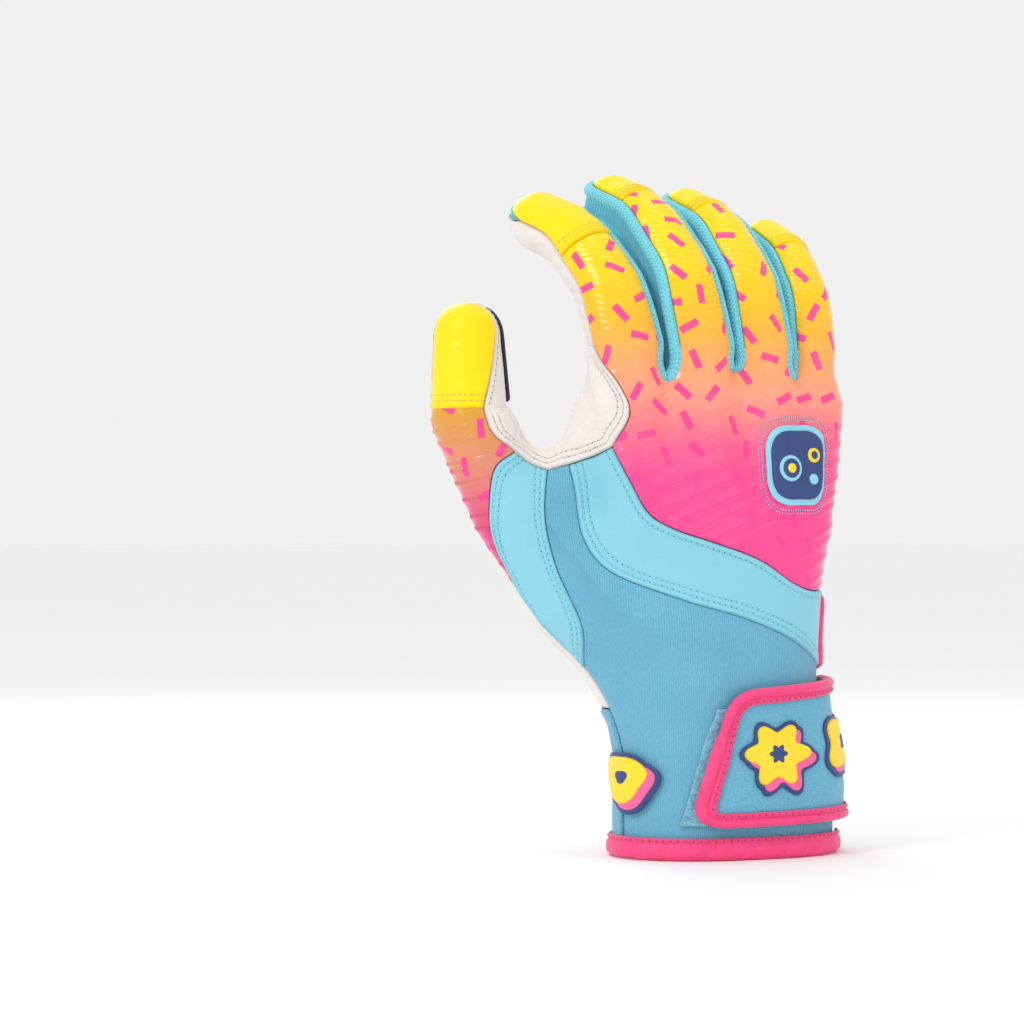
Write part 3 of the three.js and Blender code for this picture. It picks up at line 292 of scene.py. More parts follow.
class Form:
    """The field round the hand: least distance to tapered bones, joined by smooth unions."""

    def __init__(self):
        """Bones at shares of the hand, and the fingers' along their lines, each end with its radius."""
        chains = []
        for x in WRIST_X:
            rows = [((x * spread + shift, 0, z), r) for spread, shift, z, r in WRIST_RINGS]
            scale = PALM_DEPTH * (1 if x == 0 else WRIST_SIDE)
            chains.append((place([p for p, _ in rows]), [r * scale for _, r in rows]))
        for name, (wrist, girth, knuckle) in HAND_BONES.items():
            x, y = FINGERS[name]["base"]
            points = [(wrist, 0, HAND_HEIGHTS[0]), (lerp(wrist, x, HAND_MIDDLE[0]), y, HAND_HEIGHTS[1]),
                      (x, y, HAND_HEIGHTS[2])]
            chains.append((place(points), [g * PALM_DEPTH for g in (girth, HAND_MIDDLE[1], knuckle)]))
        for rows in (THUMB_BONES, WEB_BONES):
            chains.append((place(rows), [row[3] * PALM_DEPTH for row in rows]))
        for name in NAMES:
            line = LINES[name]
            s = np.linspace(0, line.length, STATIONS + 1)
            root = line.at(0) + (0, -ROOT["setback"], -ROOT["drop"])
            chains.append((np.vstack([root, line.at(s)]), [line.girths[0] * ROOT["girth"], *line.girth(s)]))
        self.first = np.cumsum([0] + [len(points) - 1 for points, _ in chains])[:-1]
        self.a = np.vstack([points[:-1] for points, _ in chains])
        self.d = np.vstack([np.diff(points, axis=0) for points, _ in chains])
        self.r = np.concatenate([radii[:-1] for _, radii in chains])
        self.dr = np.concatenate([np.diff(radii) for _, radii in chains])

    def chains(self, p):
        """Distance to each chain: to the nearest point of its bones, less the radius there."""
        from_a = p @ self.d.T - (self.a * self.d).sum(1)
        length = (self.d ** 2).sum(1)
        t = np.clip(from_a / length, 0, 1)
        square = (p ** 2).sum(1)[:, None] - 2 * p @ self.a.T + (self.a ** 2).sum(1)
        away = np.sqrt(np.maximum(square - 2 * t * from_a + t * t * length, 0)) - self.r - self.dr * t
        return np.minimum.reduceat(away, self.first, axis=1).T

    def __call__(self, points, names=NAMES):
        """The field at points of any grid; names are the fingers that count."""
        flat = np.asarray(points, float).reshape(-1, 3)
        out = np.concatenate([self._level(part, names) for part in np.array_split(flat, len(flat) // 20000 + 1)])
        return out.reshape(np.shape(points)[:-1])

    def _level(self, p, names):
        """The chains joined in turn; each finger is joined to the hand alone."""
        chain = self.chains(p)
        d = chain[0]
        for other in chain[1:3]:
            d = union(d, other, BLENDS["wrist"])
        for other in chain[3:7]:
            d = union(d, other, BLENDS["palm"])
        d = union(union(d, chain[7], BLENDS["thumb"]), chain[8], BLENDS["web"])
        hand = d
        for name in names:
            d = np.minimum(d, union(hand, chain[9 + NAMES.index(name)], BLENDS["finger"]))
        return d


def union(a, b, k):
    """Smooth least of two fields over a width k."""
    h = np.maximum(k - np.abs(a - b), 0) / k
    return np.minimum(a, b) - h * h * k / 4


FORM = Form()


def hand(p):
    """The field of the whole form."""
    return FORM(p)


def bare(p):
    """The field without the fingers."""
    return FORM(p, ())


def digit(name):
    """The field with one finger, or without any for the thumb."""
    return bare if name == "thumb" else lambda p: FORM(p, (name,))


CORNERS = np.array([(1, 1, 1), (1, -1, -1), (-1, 1, -1), (-1, -1, 1)], float)
SLOPE_STEP = 0.08


def slope(p, field):
    """Gradient of a field from its values at four corners of a small tetrahedron."""
    p = np.asarray(p, float)
    values = np.stack([field(p + SLOPE_STEP * corner) for corner in CORNERS], -1)
    return values @ CORNERS / (4 * SLOPE_STEP)


def settle(p, field, rounds=8):
    """Points carried down the slope to the form's surface."""
    q = np.array(p, float)
    for _ in range(rounds):
        g = slope(q, field)
        q += g * (-field(q) / np.maximum((g ** 2).sum(-1), 0.25))[..., None]
    return q


def reach(origin, direction, field, rounds=60):
    """Points marched along a direction by the field's own distance until they lie on the surface."""
    q = np.array(np.broadcast_to(origin, np.shape(direction)), float)
    for _ in range(rounds):
        step = -field(q)
        q += direction * step[..., None]
        if np.abs(step).max() < 0.003:
            break
    return q


def spline(points, count):
    """A centripetal spline through a few points, given back as count points at equal lengths."""
    p = np.asarray(points, float)
    p = np.vstack([2 * p[0] - p[1], p, 2 * p[-1] - p[-2]])
    gaps = np.maximum(norm(np.diff(p, axis=0)) ** 0.5, 1e-4)
    dense = []
    t = np.linspace(0, 1, 80, endpoint=False)[:, None]
    for i in range(1, len(p) - 2):
        d0, d1, d2 = gaps[i - 1:i + 2]
        step = p[i + 1] - p[i]
        a = ((p[i] - p[i - 1]) / d0 - (p[i + 1] - p[i - 1]) / (d0 + d1) + step / d1) * d1
        b = (step / d1 - (p[i + 2] - p[i]) / (d1 + d2) + (p[i + 2] - p[i + 1]) / d2) * d1
        dense.append(p[i] + a * t + (3 * step - 2 * a - b) * t ** 2 + (-2 * step + a + b) * t ** 3)
    return spaced(np.vstack([*dense, p[-2:-1]]), count)


def spaced(points, count):
    """The same line with count points at equal lengths."""
    run = run_along(points)
    return read_at(np.linspace(0, run[-1], count), run, points)


def seam(places, steps):
    """A sewn line: a smooth curve through a few places, laid on the form."""
    return settle(spline([on_hand(p) for p in places], steps * FINE + 1), hand)


def on_hand(p):
    """A place's point: three shares are carried by place(), two lie on the back, and an array is a point already."""
    if not isinstance(p, tuple):
        return p
    return place(p) if len(p) == 3 else on_face(p[0] * PALM_WIDTH, p[1] * FOLD_HEIGHT, -1)


def arc(point, start, end, steps):
    """A line of points, for even steps of a value."""
    return point(np.linspace(start, end, steps * FINE + 1))


def join(*lines):
    """Lines end to end, without the doubled points."""
    return np.vstack([lines[0], *[line[1:] for line in lines[1:]]])


def spine(shares, z):
    """Points of a spine at heights, straight between its places."""
    rows = place(shares)
    return np.stack([np.interp(z, rows[:, 2], c) for c in rows.T[:2]] + [z], -1)


def around(turn, z):
    """A point of the surface at a turn about the hand: 0 at its back, + to the little finger's side."""
    z = np.asarray(z, float)
    turn = np.broadcast_to(np.asarray(turn, float), z.shape)
    centre = np.where(turn[..., None] > 0, spine(RIGHT_SPINE, z), spine(LEFT_SPINE, z))
    a = np.radians(turn)
    direction = np.stack([np.sin(a), -np.cos(a), np.zeros_like(a)], -1)
    return reach(centre + direction * PALM_DEPTH * 2, direction, hand)


def unrolled_rays(across, z, face):
    """Rays at a distance across the back (face -1) or palm (face 1), turning round the sides past the spines."""
    across, z = np.broadcast_arrays(np.asarray(across, float), np.asarray(z, float))
    left, right = spine(LEFT_SPINE, z), spine(RIGHT_SPINE, z)
    share = np.clip((across - left[..., 0]) / (right[..., 0] - left[..., 0]), 0, 1)[..., None]
    centre = lerp(left, right, share)
    turn = (across - centre[..., 0]) / SIDE_ARC
    direction = np.stack([np.sin(turn), face * np.cos(turn), np.zeros_like(turn)], -1)
    return centre + direction * PALM_DEPTH * 2, direction


def on_face(across, z, face):
    """The points of the surface under those rays."""
    return reach(*unrolled_rays(across, z, face), hand)


def wrapped(start, end, t, z):
    """Across for turns about the two spines, in degrees round the thumb's side and round the other."""
    return lerp(spine(LEFT_SPINE, z)[..., 0] - SIDE_ARC * np.radians(start),
                spine(RIGHT_SPINE, z)[..., 0] + SIDE_ARC * np.radians(end), t)


def round_wrist(p, face):
    """Places round the wrist in millimetres: along the face, then round its sides, and the height."""
    z = p[..., 2]
    over = np.clip(p[..., 0], spine(LEFT_SPINE, z)[..., 0], spine(RIGHT_SPINE, z)[..., 0])
    return np.stack([over + PALM_DEPTH * np.arctan2(p[..., 0] - over, face * p[..., 1]), z], -1)


def refining(n, m):
    """Weights that carry n even samples to m, by a Catmull-Rom curve through them."""
    t = np.linspace(0, n - 1, m)
    i = np.minimum(t.astype(int), n - 2)
    f = t - i
    weights = np.zeros((m, n + 2))
    parts = (-f ** 3 + 2 * f ** 2 - f, 3 * f ** 3 - 5 * f ** 2 + 2, -3 * f ** 3 + 4 * f ** 2 + f, f ** 3 - f ** 2)
    for k, part in enumerate(parts):
        weights[np.arange(m), i + k] += part / 2
    full = weights[:, 1:-1].copy()
    full[:, 0] += 2 * weights[:, 0]
    full[:, 1] -= weights[:, 0]
    full[:, -1] += 2 * weights[:, -1]
    full[:, -2] -= weights[:, -1]
    return full


def refined(grid, rows, columns):
    """A coarse grid made fine both ways."""
    return np.einsum("ij,jkc,lk->ilc", refining(grid.shape[0], rows), grid, refining(grid.shape[1], columns),
                     optimize=True)


INNER_STRIDE = 4
SIDES = ("left", "right", "bottom", "top")


class Patch:
    """A fine grid on the form, its normals, and the millimetres run from each of its four edges."""

    def __init__(self, coarse, directions, field, across=None, along=None):
        """The fine grid is carried to the surface, and its cells' lengths are summed up."""
        grid = mm("grid") * 1
        columns, rows = (
            int(np.ceil(norm(np.diff(coarse, axis=axis)).sum(axis).max() / (step or grid) / INNER_STRIDE))
            * INNER_STRIDE + 1 for axis, step in ((1, across), (0, along)))
        self.shape = (rows, columns)
        self.base = refined(coarse, rows, columns)
        way = unit(refined(directions, rows, columns))
        for _ in range(4):
            self.base += way * -field(self.base)[..., None]
        self.normal = unit(slope(self.base, field))
        self.left, self.bottom = np.zeros(self.shape), np.zeros(self.shape)
        self.left[:, 1:] = np.cumsum(norm(np.diff(self.base, axis=1)), 1)
        self.bottom[1:] = np.cumsum(norm(np.diff(self.base, axis=0)), 0)
        self.right, self.top = self.left[:, -1:] - self.left, self.bottom[-1:] - self.bottom

    def relax(self, rounds=24):
        """Average each point and normal with its four neighbours, less near the edges, to ease sharp valleys."""
        share = 0.6 * smooth(self.near() / 3)[1:-1, 1:-1, None]
        for _ in range(rounds):
            for grid in (self.base, self.normal):
                mean = (grid[:-2, 1:-1] + grid[2:, 1:-1] + grid[1:-1, :-2] + grid[1:-1, 2:]) / 4
                grid[1:-1, 1:-1] += (mean - grid[1:-1, 1:-1]) * share
        self.normal = unit(self.normal)
        return self

    def area(self):
        """Square millimetres of the grid's cells, by the cross of their diagonals."""
        b = self.base
        return norm(np.cross(b[1:, 1:] - b[:-1, :-1], b[1:, :-1] - b[:-1, 1:])).sum() / 2

    def near(self, *sides):
        """Millimetres to the nearest of the named edges, or of all four."""
        return np.minimum.reduce([getattr(self, side) for side in sides or SIDES])

    def to(self, line):
        """Millimetres to a line of points."""
        dense = spaced(line, 240).astype(np.float32)
        flat = self.base.reshape(-1, 3).astype(np.float32)
        square = [((part[:, None] - dense[None]) ** 2).sum(-1).min(1) for part in np.array_split(flat, 40)]
        return np.sqrt(np.concatenate(square)).reshape(self.shape)

    def flow(self):
        """Places along the cloth in millimetres, from the middle column and the lowest row."""
        return np.stack([self.left - self.left[:, -1:] / 2, self.bottom], -1)

    def at(self, height):
        """The grid's points at a height over it."""
        return self.base + self.normal * np.asarray(height)[..., None]


LATTICE = np.random.default_rng(11).random((32, 32, 32)).astype(np.float32)


def noise(p, size, shift=0):
    """Smooth noise from 0 to 1: random values on a lattice of a given size, eased between."""
    q = np.asarray(p) / size + shift * 7.3
    i = np.floor(q).astype(int)
    f = smooth(q - i)
    out = 0
    for corner in np.ndindex(2, 2, 2):
        c = np.array(corner)
        weight = np.prod(np.where(c == 1, f, 1 - f), axis=-1)
        j = (i + c) % 32
        out = out + weight * LATTICE[j[..., 0], j[..., 1], j[..., 2]]
    return out


def creases(p, size, shift=0):
    """Narrow folds where the noise passes its middle: 1 on a fold, 0 away from it."""
    return np.clip(1 - np.abs(noise(p, size, shift) - 0.5) * 9, 0, 1) ** 2


def rolled(distance, radius=None, depth=None):
    """A quarter round: down by its depth at the edge, level one radius in."""
    radius = radius or mm("edge")
    x = np.clip(1 - distance / radius, 0, 1)
    return (depth or radius) * (np.sqrt(np.maximum(1 - x * x, 0)) - 1)


def flat_edge(distance):
    """A cut edge that goes under its neighbour."""
    return rolled(distance, 0.7, 0.35)


def tuck(run):
    """The drop of a finger's cloth where it goes under the hand's, by the distance from its end."""
    return -0.12 * (1 - smooth(run / (1.6 * TUCK)))


def dent(distance, at, width=0.55, depth=0.22):
    """A soft groove at one distance from an edge."""
    return -depth * np.exp(-((distance - at) / width) ** 2)


def swell(distance, start, end, height):
    """A half wave between two distances."""
    t = np.clip((distance - start) / (end - start), 0, 1)
    return height * np.sin(np.pi * t)


class Piece:
    """Closed meshes gathered in millimetres and written at once as one object."""

    def __init__(self, name):
        """An empty piece."""
        self.name = name
        self.count = 0
        self.points, self.faces, self.finishes, self.flows, self.edges, self.flecks = ([] for _ in range(6))

    def add(self, points, faces, finish, flow=None, edge=None, fleck=None):
        """Points (n, 3), faces as arrays of corner numbers, one finish, and what its pattern reads."""
        n = len(points)
        if finish not in self.finishes:
            self.finishes.append(finish)
        self.points.append(points)
        self.faces += [(f + self.count, self.finishes.index(finish), i > 1) for i, f in enumerate(faces)]
        self.flows.append(np.zeros((n, 2)) if flow is None else flow)
        self.edges.append(np.full(n, 9.0) if edge is None else edge)
        self.flecks.append(np.full((n, 3), 9.0) if fleck is None else fleck)
        self.count += n

    def shell(self, patch, high, low, finish, edge=None, fleck=None, flow=None):
        """A skin between two heights: a fine outer grid, a coarse inner one and the rim between them."""
        rows, columns = patch.shape
        outer = patch.at(np.broadcast_to(high, patch.shape))
        k = INNER_STRIDE
        inner = patch.at(np.broadcast_to(low, patch.shape))[::k, ::k]
        coarse = inner.shape[:2]
        n = rows * columns
        faces = [quads(rows, columns, 0), quads(*coarse, n)[:, ::-1], rim(rows, columns, n, *coarse)]
        du = patch.base[:, 1:][:-1] - patch.base[:-1, :-1]
        dv = patch.base[1:][:, :-1] - patch.base[:-1, :-1]
        if (np.cross(du, dv) * patch.normal[:-1, :-1]).sum() < 0:
            faces = [f[:, ::-1] for f in faces]
        every = lambda a, d: None if a is None else np.concatenate([a.reshape(-1, d), a[::k, ::k].reshape(-1, d)])
        flow = patch.flow() if flow is None else flow
        self.add(np.concatenate([outer.reshape(-1, 3), inner.reshape(-1, 3)]), faces, finish, every(flow, 2),
                 None if edge is None else every(edge, 1)[:, 0], every(fleck, 3))
        return outer

    def sweep(self, rings, finish):
        """A closed section carried along a path, with flat ends; its pattern lies along the section and path."""
        points = rings.reshape(-1, 3)
        flow = np.stack(np.meshgrid(run_along(rings[0]), run_along(rings.mean(1))), -1).reshape(-1, 2)
        self.add(points, outward(points, tube(*rings.shape[:2])), finish, flow)

    def write(self, slot, body="hand", bend=None, cut=None, fill=None):
        """The object: attributes for the patterns, then the body that carries it, or for a piece given a bend its
        placing baked in.

        cut is the patch that a cloth or leather piece is cut to, and fill is not used."""
        points = np.concatenate(self.points)
        loops = np.concatenate([f.reshape(-1) for f, _, _ in self.faces])
        sizes = np.concatenate([np.full(len(f), f.shape[1]) for f, _, _ in self.faces])
        mesh = bpy.data.meshes.new(self.name)
        mesh.vertices.add(len(points))
        mesh.vertices.foreach_set("co", (points / METRE).astype(np.float32).ravel())
        mesh.loops.add(len(loops))
        mesh.loops.foreach_set("vertex_index", loops.astype(np.int32))
        mesh.polygons.add(len(sizes))
        mesh.polygons.foreach_set("loop_start", (np.cumsum(sizes) - sizes).astype(np.int32))
        mesh.polygons.foreach_set("material_index", np.concatenate(
            [np.full(len(f), m) for f, m, _ in self.faces]).astype(np.int32))
        mesh.polygons.foreach_set("use_smooth", np.concatenate(
            [np.full(len(f), not flat) for f, _, flat in self.faces]))
        for name, kind, field, values in (("rest", "FLOAT_VECTOR", "vector", points),
                                          ("fleck", "FLOAT_VECTOR", "vector", np.concatenate(self.flecks)),
                                          ("edge", "FLOAT", "value", np.concatenate(self.edges))):
            attribute = mesh.attributes.new(name, kind, "POINT")
            attribute.data.foreach_set(field, values.astype(np.float32).ravel())
        flow = mesh.uv_layers.new(name="flow")
        flow.data.foreach_set("uv", np.concatenate(self.flows)[loops].astype(np.float32).ravel())
        for finish in self.finishes:
            mesh.materials.append(MATERIALS[finish])
        mesh.update(calc_edges=True)
        mesh.validate()
        obj = added(self.name, mesh)
        if bend:
            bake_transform(obj)
        else:
            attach(obj, body)
        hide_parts(self.name)
        if cut:
            long, area = cut.bottom[-1].max() / METRE, cut.area() / METRE ** 2


def added(name, data):
    """A new object of the scene."""
    obj = bpy.data.objects.new(name, data)
    bpy.context.scene.collection.objects.link(obj)
    return obj


def quads(rows, columns, start):
    """Faces between a grid's neighbours."""
    a = (np.arange(rows - 1)[:, None] * columns + np.arange(columns - 1)).reshape(-1) + start
    return np.stack([a, a + 1, a + columns + 1, a + columns], 1)


def border(rows, columns, start):
    """Numbers of a grid's outline, once round."""
    grid = np.arange(rows * columns).reshape(rows, columns) + start
    return np.concatenate([grid[0, :-1], grid[:-1, -1], grid[-1, :0:-1], grid[:0:-1, 0]])


def rim(rows, columns, start, inner_rows, inner_columns):
    """Faces between a fine outline and a coarse one, each with one coarse side."""
    fine, coarse = border(rows, columns, 0), border(inner_rows, inner_columns, start)
    k = np.arange(len(coarse))
    steps = [fine[(k * INNER_STRIDE + i) % len(fine)] for i in range(INNER_STRIDE, -1, -1)]
    return np.stack([coarse, coarse[(k + 1) % len(coarse)], *steps], 1)


def signed_volume(points, faces):
    """Each face as a fan of triangles: a corner times the cross of the other two, summed."""
    total = 0.0
    for f in faces:
        for k in range(1, f.shape[1] - 1):
            a, b, c = points[f[:, 0]], points[f[:, k]], points[f[:, k + 1]]
            total += (a * np.cross(b, c)).sum()
    return total


def outward(points, faces):
    """The faces of a closed mesh, turned round where they look into it."""
    inside = signed_volume(points - points.mean(0), faces) < 0
    return [f[:, ::-1] for f in faces] if inside else faces


def tube(stations, sides):
    """Faces between the rings of a tube, and its two flat ends."""
    j = np.arange(sides)
    k = np.arange(stations - 1)[:, None] * sides
    a, b = k + j, k + (j + 1) % sides
    return [np.stack([a, b, b + sides, a + sides], -1).reshape(-1, 4), np.stack([j[::-1], k[-1] + sides + j])]


def spread(stations, sides):
    """Faces between rings that go out from a middle."""
    return np.roll(tube(stations, sides)[0][:, ::-1], 1, axis=1)


def copies(points, faces):
    """Many small meshes as one: points (copies, n, 3), with one mesh's faces repeated."""
    start = np.arange(len(points))[:, None, None] * points.shape[1]
    return points.reshape(-1, 3), [(f + start).reshape(-1, f.shape[1]) for f in outward(points[0], faces)]


def axes(normal, away):
    """Two directions in a surface: square to another direction, and square to that."""
    level = unit(np.cross(normal, away))
    return level, np.cross(normal, level)


def circle(sides):
    """Cosines and sines of even turns, as columns."""
    a = np.arange(sides) * 2 * np.pi / sides
    return np.cos(a)[:, None], np.sin(a)[:, None]


def line_on(patch, surface, side, inset, trim):
    """A line of the finished surface that keeps one distance from an edge, with the normals along it."""
    grids = [getattr(patch, side), surface, patch.normal]
    if side in ("bottom", "top"):
        grids = [g.swapaxes(0, 1) for g in grids]
    if side in ("right", "top"):
        grids = [g[:, ::-1] for g in grids]
    wide = grids[0][:, -1] > inset * 2.4
    run, surface, normal = (g[wide] for g in grids)
    j = np.clip((run < inset).sum(1), 1, run.shape[1] - 1)
    i = np.arange(len(run))
    share = ((inset - run[i, j - 1]) / np.maximum(run[i, j] - run[i, j - 1], 1e-6))[:, None]
    points, normals = (lerp(g[i, j - 1], g[i, j], share) for g in (surface, normal))
    return trimmed(points, unit(normals), trim)


def trimmed(points, normals, trim):
    """The part of a line that is a trim or more from both ends."""
    run = run_along(points)
    keep = (run >= trim) & (run <= run[-1] - trim)
    return points[keep], normals[keep]


STITCH_RINGS = np.array([(-1, 0.35), (-0.66, 1), (0.66, 1), (1, 0.35)])
STITCH_SIDES = 6
STITCH_SHARE = 0.86
HOLE_RADIUS = 0.34
STUD_SIDES = 6


def stitch(piece, path, finish, pitch=None, radius=None):
    """A row of stitches: short round bars that dip at both ends, at even steps along a line, with dark cones between
    as painted shade of the needle holes.
    """
    points, normals = path
    pitch, radius = pitch or mm("stitch"), radius or mm("thread")
    run = run_along(points)
    count = int(run[-1] // pitch)
    if count < 1:
        return
    middle = (np.arange(count) + 0.5) * run[-1] / count
    before, centre, after = (read_at(middle + shift, run, points) for shift in (-0.3, 0, 0.3))
    tangent = unit(after - before)
    normal = read_at(middle, run, normals)
    normal = unit(normal - tangent * (normal * tangent).sum(-1, keepdims=True))
    centre, t, n, s = (v[:, None, None] for v in (centre, tangent, normal, np.cross(tangent, normal)))
    half = pitch * STITCH_SHARE / 2
    x, r = (c[None, :, None, None] for c in STITCH_RINGS.T)
    r = r * radius
    c, d = circle(STITCH_SIDES)
    rings = centre + t * x * half + n * (radius * (0.55 - 0.9 * x ** 2) + r * d) + s * r * c
    turn = np.arange(STITCH_SIDES) * 2 * np.pi / STITCH_SIDES * radius
    flow = np.stack(np.broadcast_arrays(x[..., 0] * half, turn, rings[..., 0])[:2], -1).reshape(-1, 2)
    piece.add(*copies(rings.reshape(count, -1, 3), tube(len(STITCH_RINGS), STITCH_SIDES)), finish + "_thread", flow)
    # Painted shade: each needle hole is a small dark cone on the surface.
    between = np.arange(count + 1) * run[-1] / count
    studs(piece, read_at(between, run, points), unit(read_at(between, run, normals)), HOLE_RADIUS, 0.1,
          finish + "_hole")


def studs(piece, places, normals, radius, height, finish):
    """Small low cones on a surface, each closed below."""
    level, up = axes(normals, (0.31, 0.17, 1.0))
    c, s = circle(STUD_SIDES)
    ring = places[:, None] + radius * (level[:, None] * c + up[:, None] * s)
    tops = places[:, None] + normals[:, None] * np.array([height, -0.25])[:, None]
    k = np.arange(STUD_SIDES)
    after, top = (k + 1) % STUD_SIDES, 0 * k + STUD_SIDES
    cone = np.concatenate([np.stack([k, after, top], 1), np.stack([after, k, top + 1], 1)])
    piece.add(*copies(np.concatenate([ring + normals[:, None] * 0.02, tops], 1), [cone]), finish)


# Sewn lines of the hand

def finger_point(name, s, turn, field=None):
    """A point of a digit's surface at a length, at a turn from its back, + to its right side."""
    rays = finger_ray(name, *np.broadcast_arrays(np.asarray(s, float), np.asarray(turn, float)))
    return reach(*rays, field or digit(name))


def finger_ray(name, s, turn):
    """A ray out from a digit's line: 0 at its back, 90 at its right."""
    _, side, front = LINES[name].frame(s)
    a = np.radians(turn)[..., None]
    return LINES[name].at(s), side * np.sin(a) - front * np.cos(a)


def tip_ray(name, sweep, rise):
    """A direction over the tip: sweep 0 at the right side, 90 over it, 180 left; rise 90 to the front."""
    line = LINES[name]
    tangent, side, front = line.frame(np.asarray(line.length))
    sweep, rise = (np.radians(v)[..., None] for v in np.broadcast_arrays(sweep, rise))
    level = side * np.cos(sweep) + tangent * np.sin(sweep)
    direction = level * np.cos(rise) + front * np.sin(rise)
    return np.broadcast_to(line.at(line.length), direction.shape), direction


def rises(name):
    """How far the wall's edges stand from the sides, in degrees: left, right and right at the base."""
    sides = {**FINGERS, "thumb": THUMB}[name]
    return sides["left"], sides["right"], sides.get("base_right", sides["right"])


def rise_at(name, side, which, s):
    """The rise of a wall's edge at a length, straight between base and tip."""
    left, right, base_right = rises(name)
    tip, base = (left, left) if side == "left" else (right, base_right)
    return lerp(base[which], tip[which], np.asarray(s, float) / LINES[name].length)


def base_turn(name, side, which):
    """The turn of a wall's edge at its digit's base."""
    rise = float(rise_at(name, side, which, 0))
    return 90 + rise if side == "right" else -90 - rise


def base_point(name, turn):
    """A point of the hand round a digit's base."""
    return finger_point(name, 0.0, turn, hand)


def fold_line(name, start, end):
    """A line round a digit's base."""
    return arc(lambda turn: base_point(name, turn), start, end, 4)


def thumb_edge(start, end, steps):
    """A line round the thumb's base."""
    return arc(lambda turn: finger_point("thumb", 0.0, turn, bare), start, end, steps)


CROTCH_SET = 0.32
GUSSET_TURN = 128
RADIAL_TURN = -89.0
ULNAR_TURN = 85.0
VENT_BACK_TURN = 74.0
VENT_PALM_TURN = 112.0
HEM = 4.6
HEEL = 51.0
STRIP_HEIGHT = 73.0
STRIP_FOOT = 65.0
STRIP_LEAVE = 93.8
BAND_FOOT = 64.0
BAND_HEAD = 93.0
VENT_TOP = 87.0
VENT_RADIUS = 3.3
VENT_SPREAD = 7.0
VENT_LAP = 2.0


def web_edge(a, b, which, face):
    """A crotch seam: down one finger, across below the fold and up the next."""
    drop = FINGERS[a]["drop"]
    low = lerp(LINES[a].at(0), LINES[b].at(0), 0.5) + (0, face * PALM_DEPTH * CROTCH_SET, -drop)
    first, last = base_point(a, base_turn(a, "right", which)), base_point(b, base_turn(b, "left", which))
    down = np.array([0, 0, -drop / 2])
    return seam([first, first + down, low, last + down, last], 8)


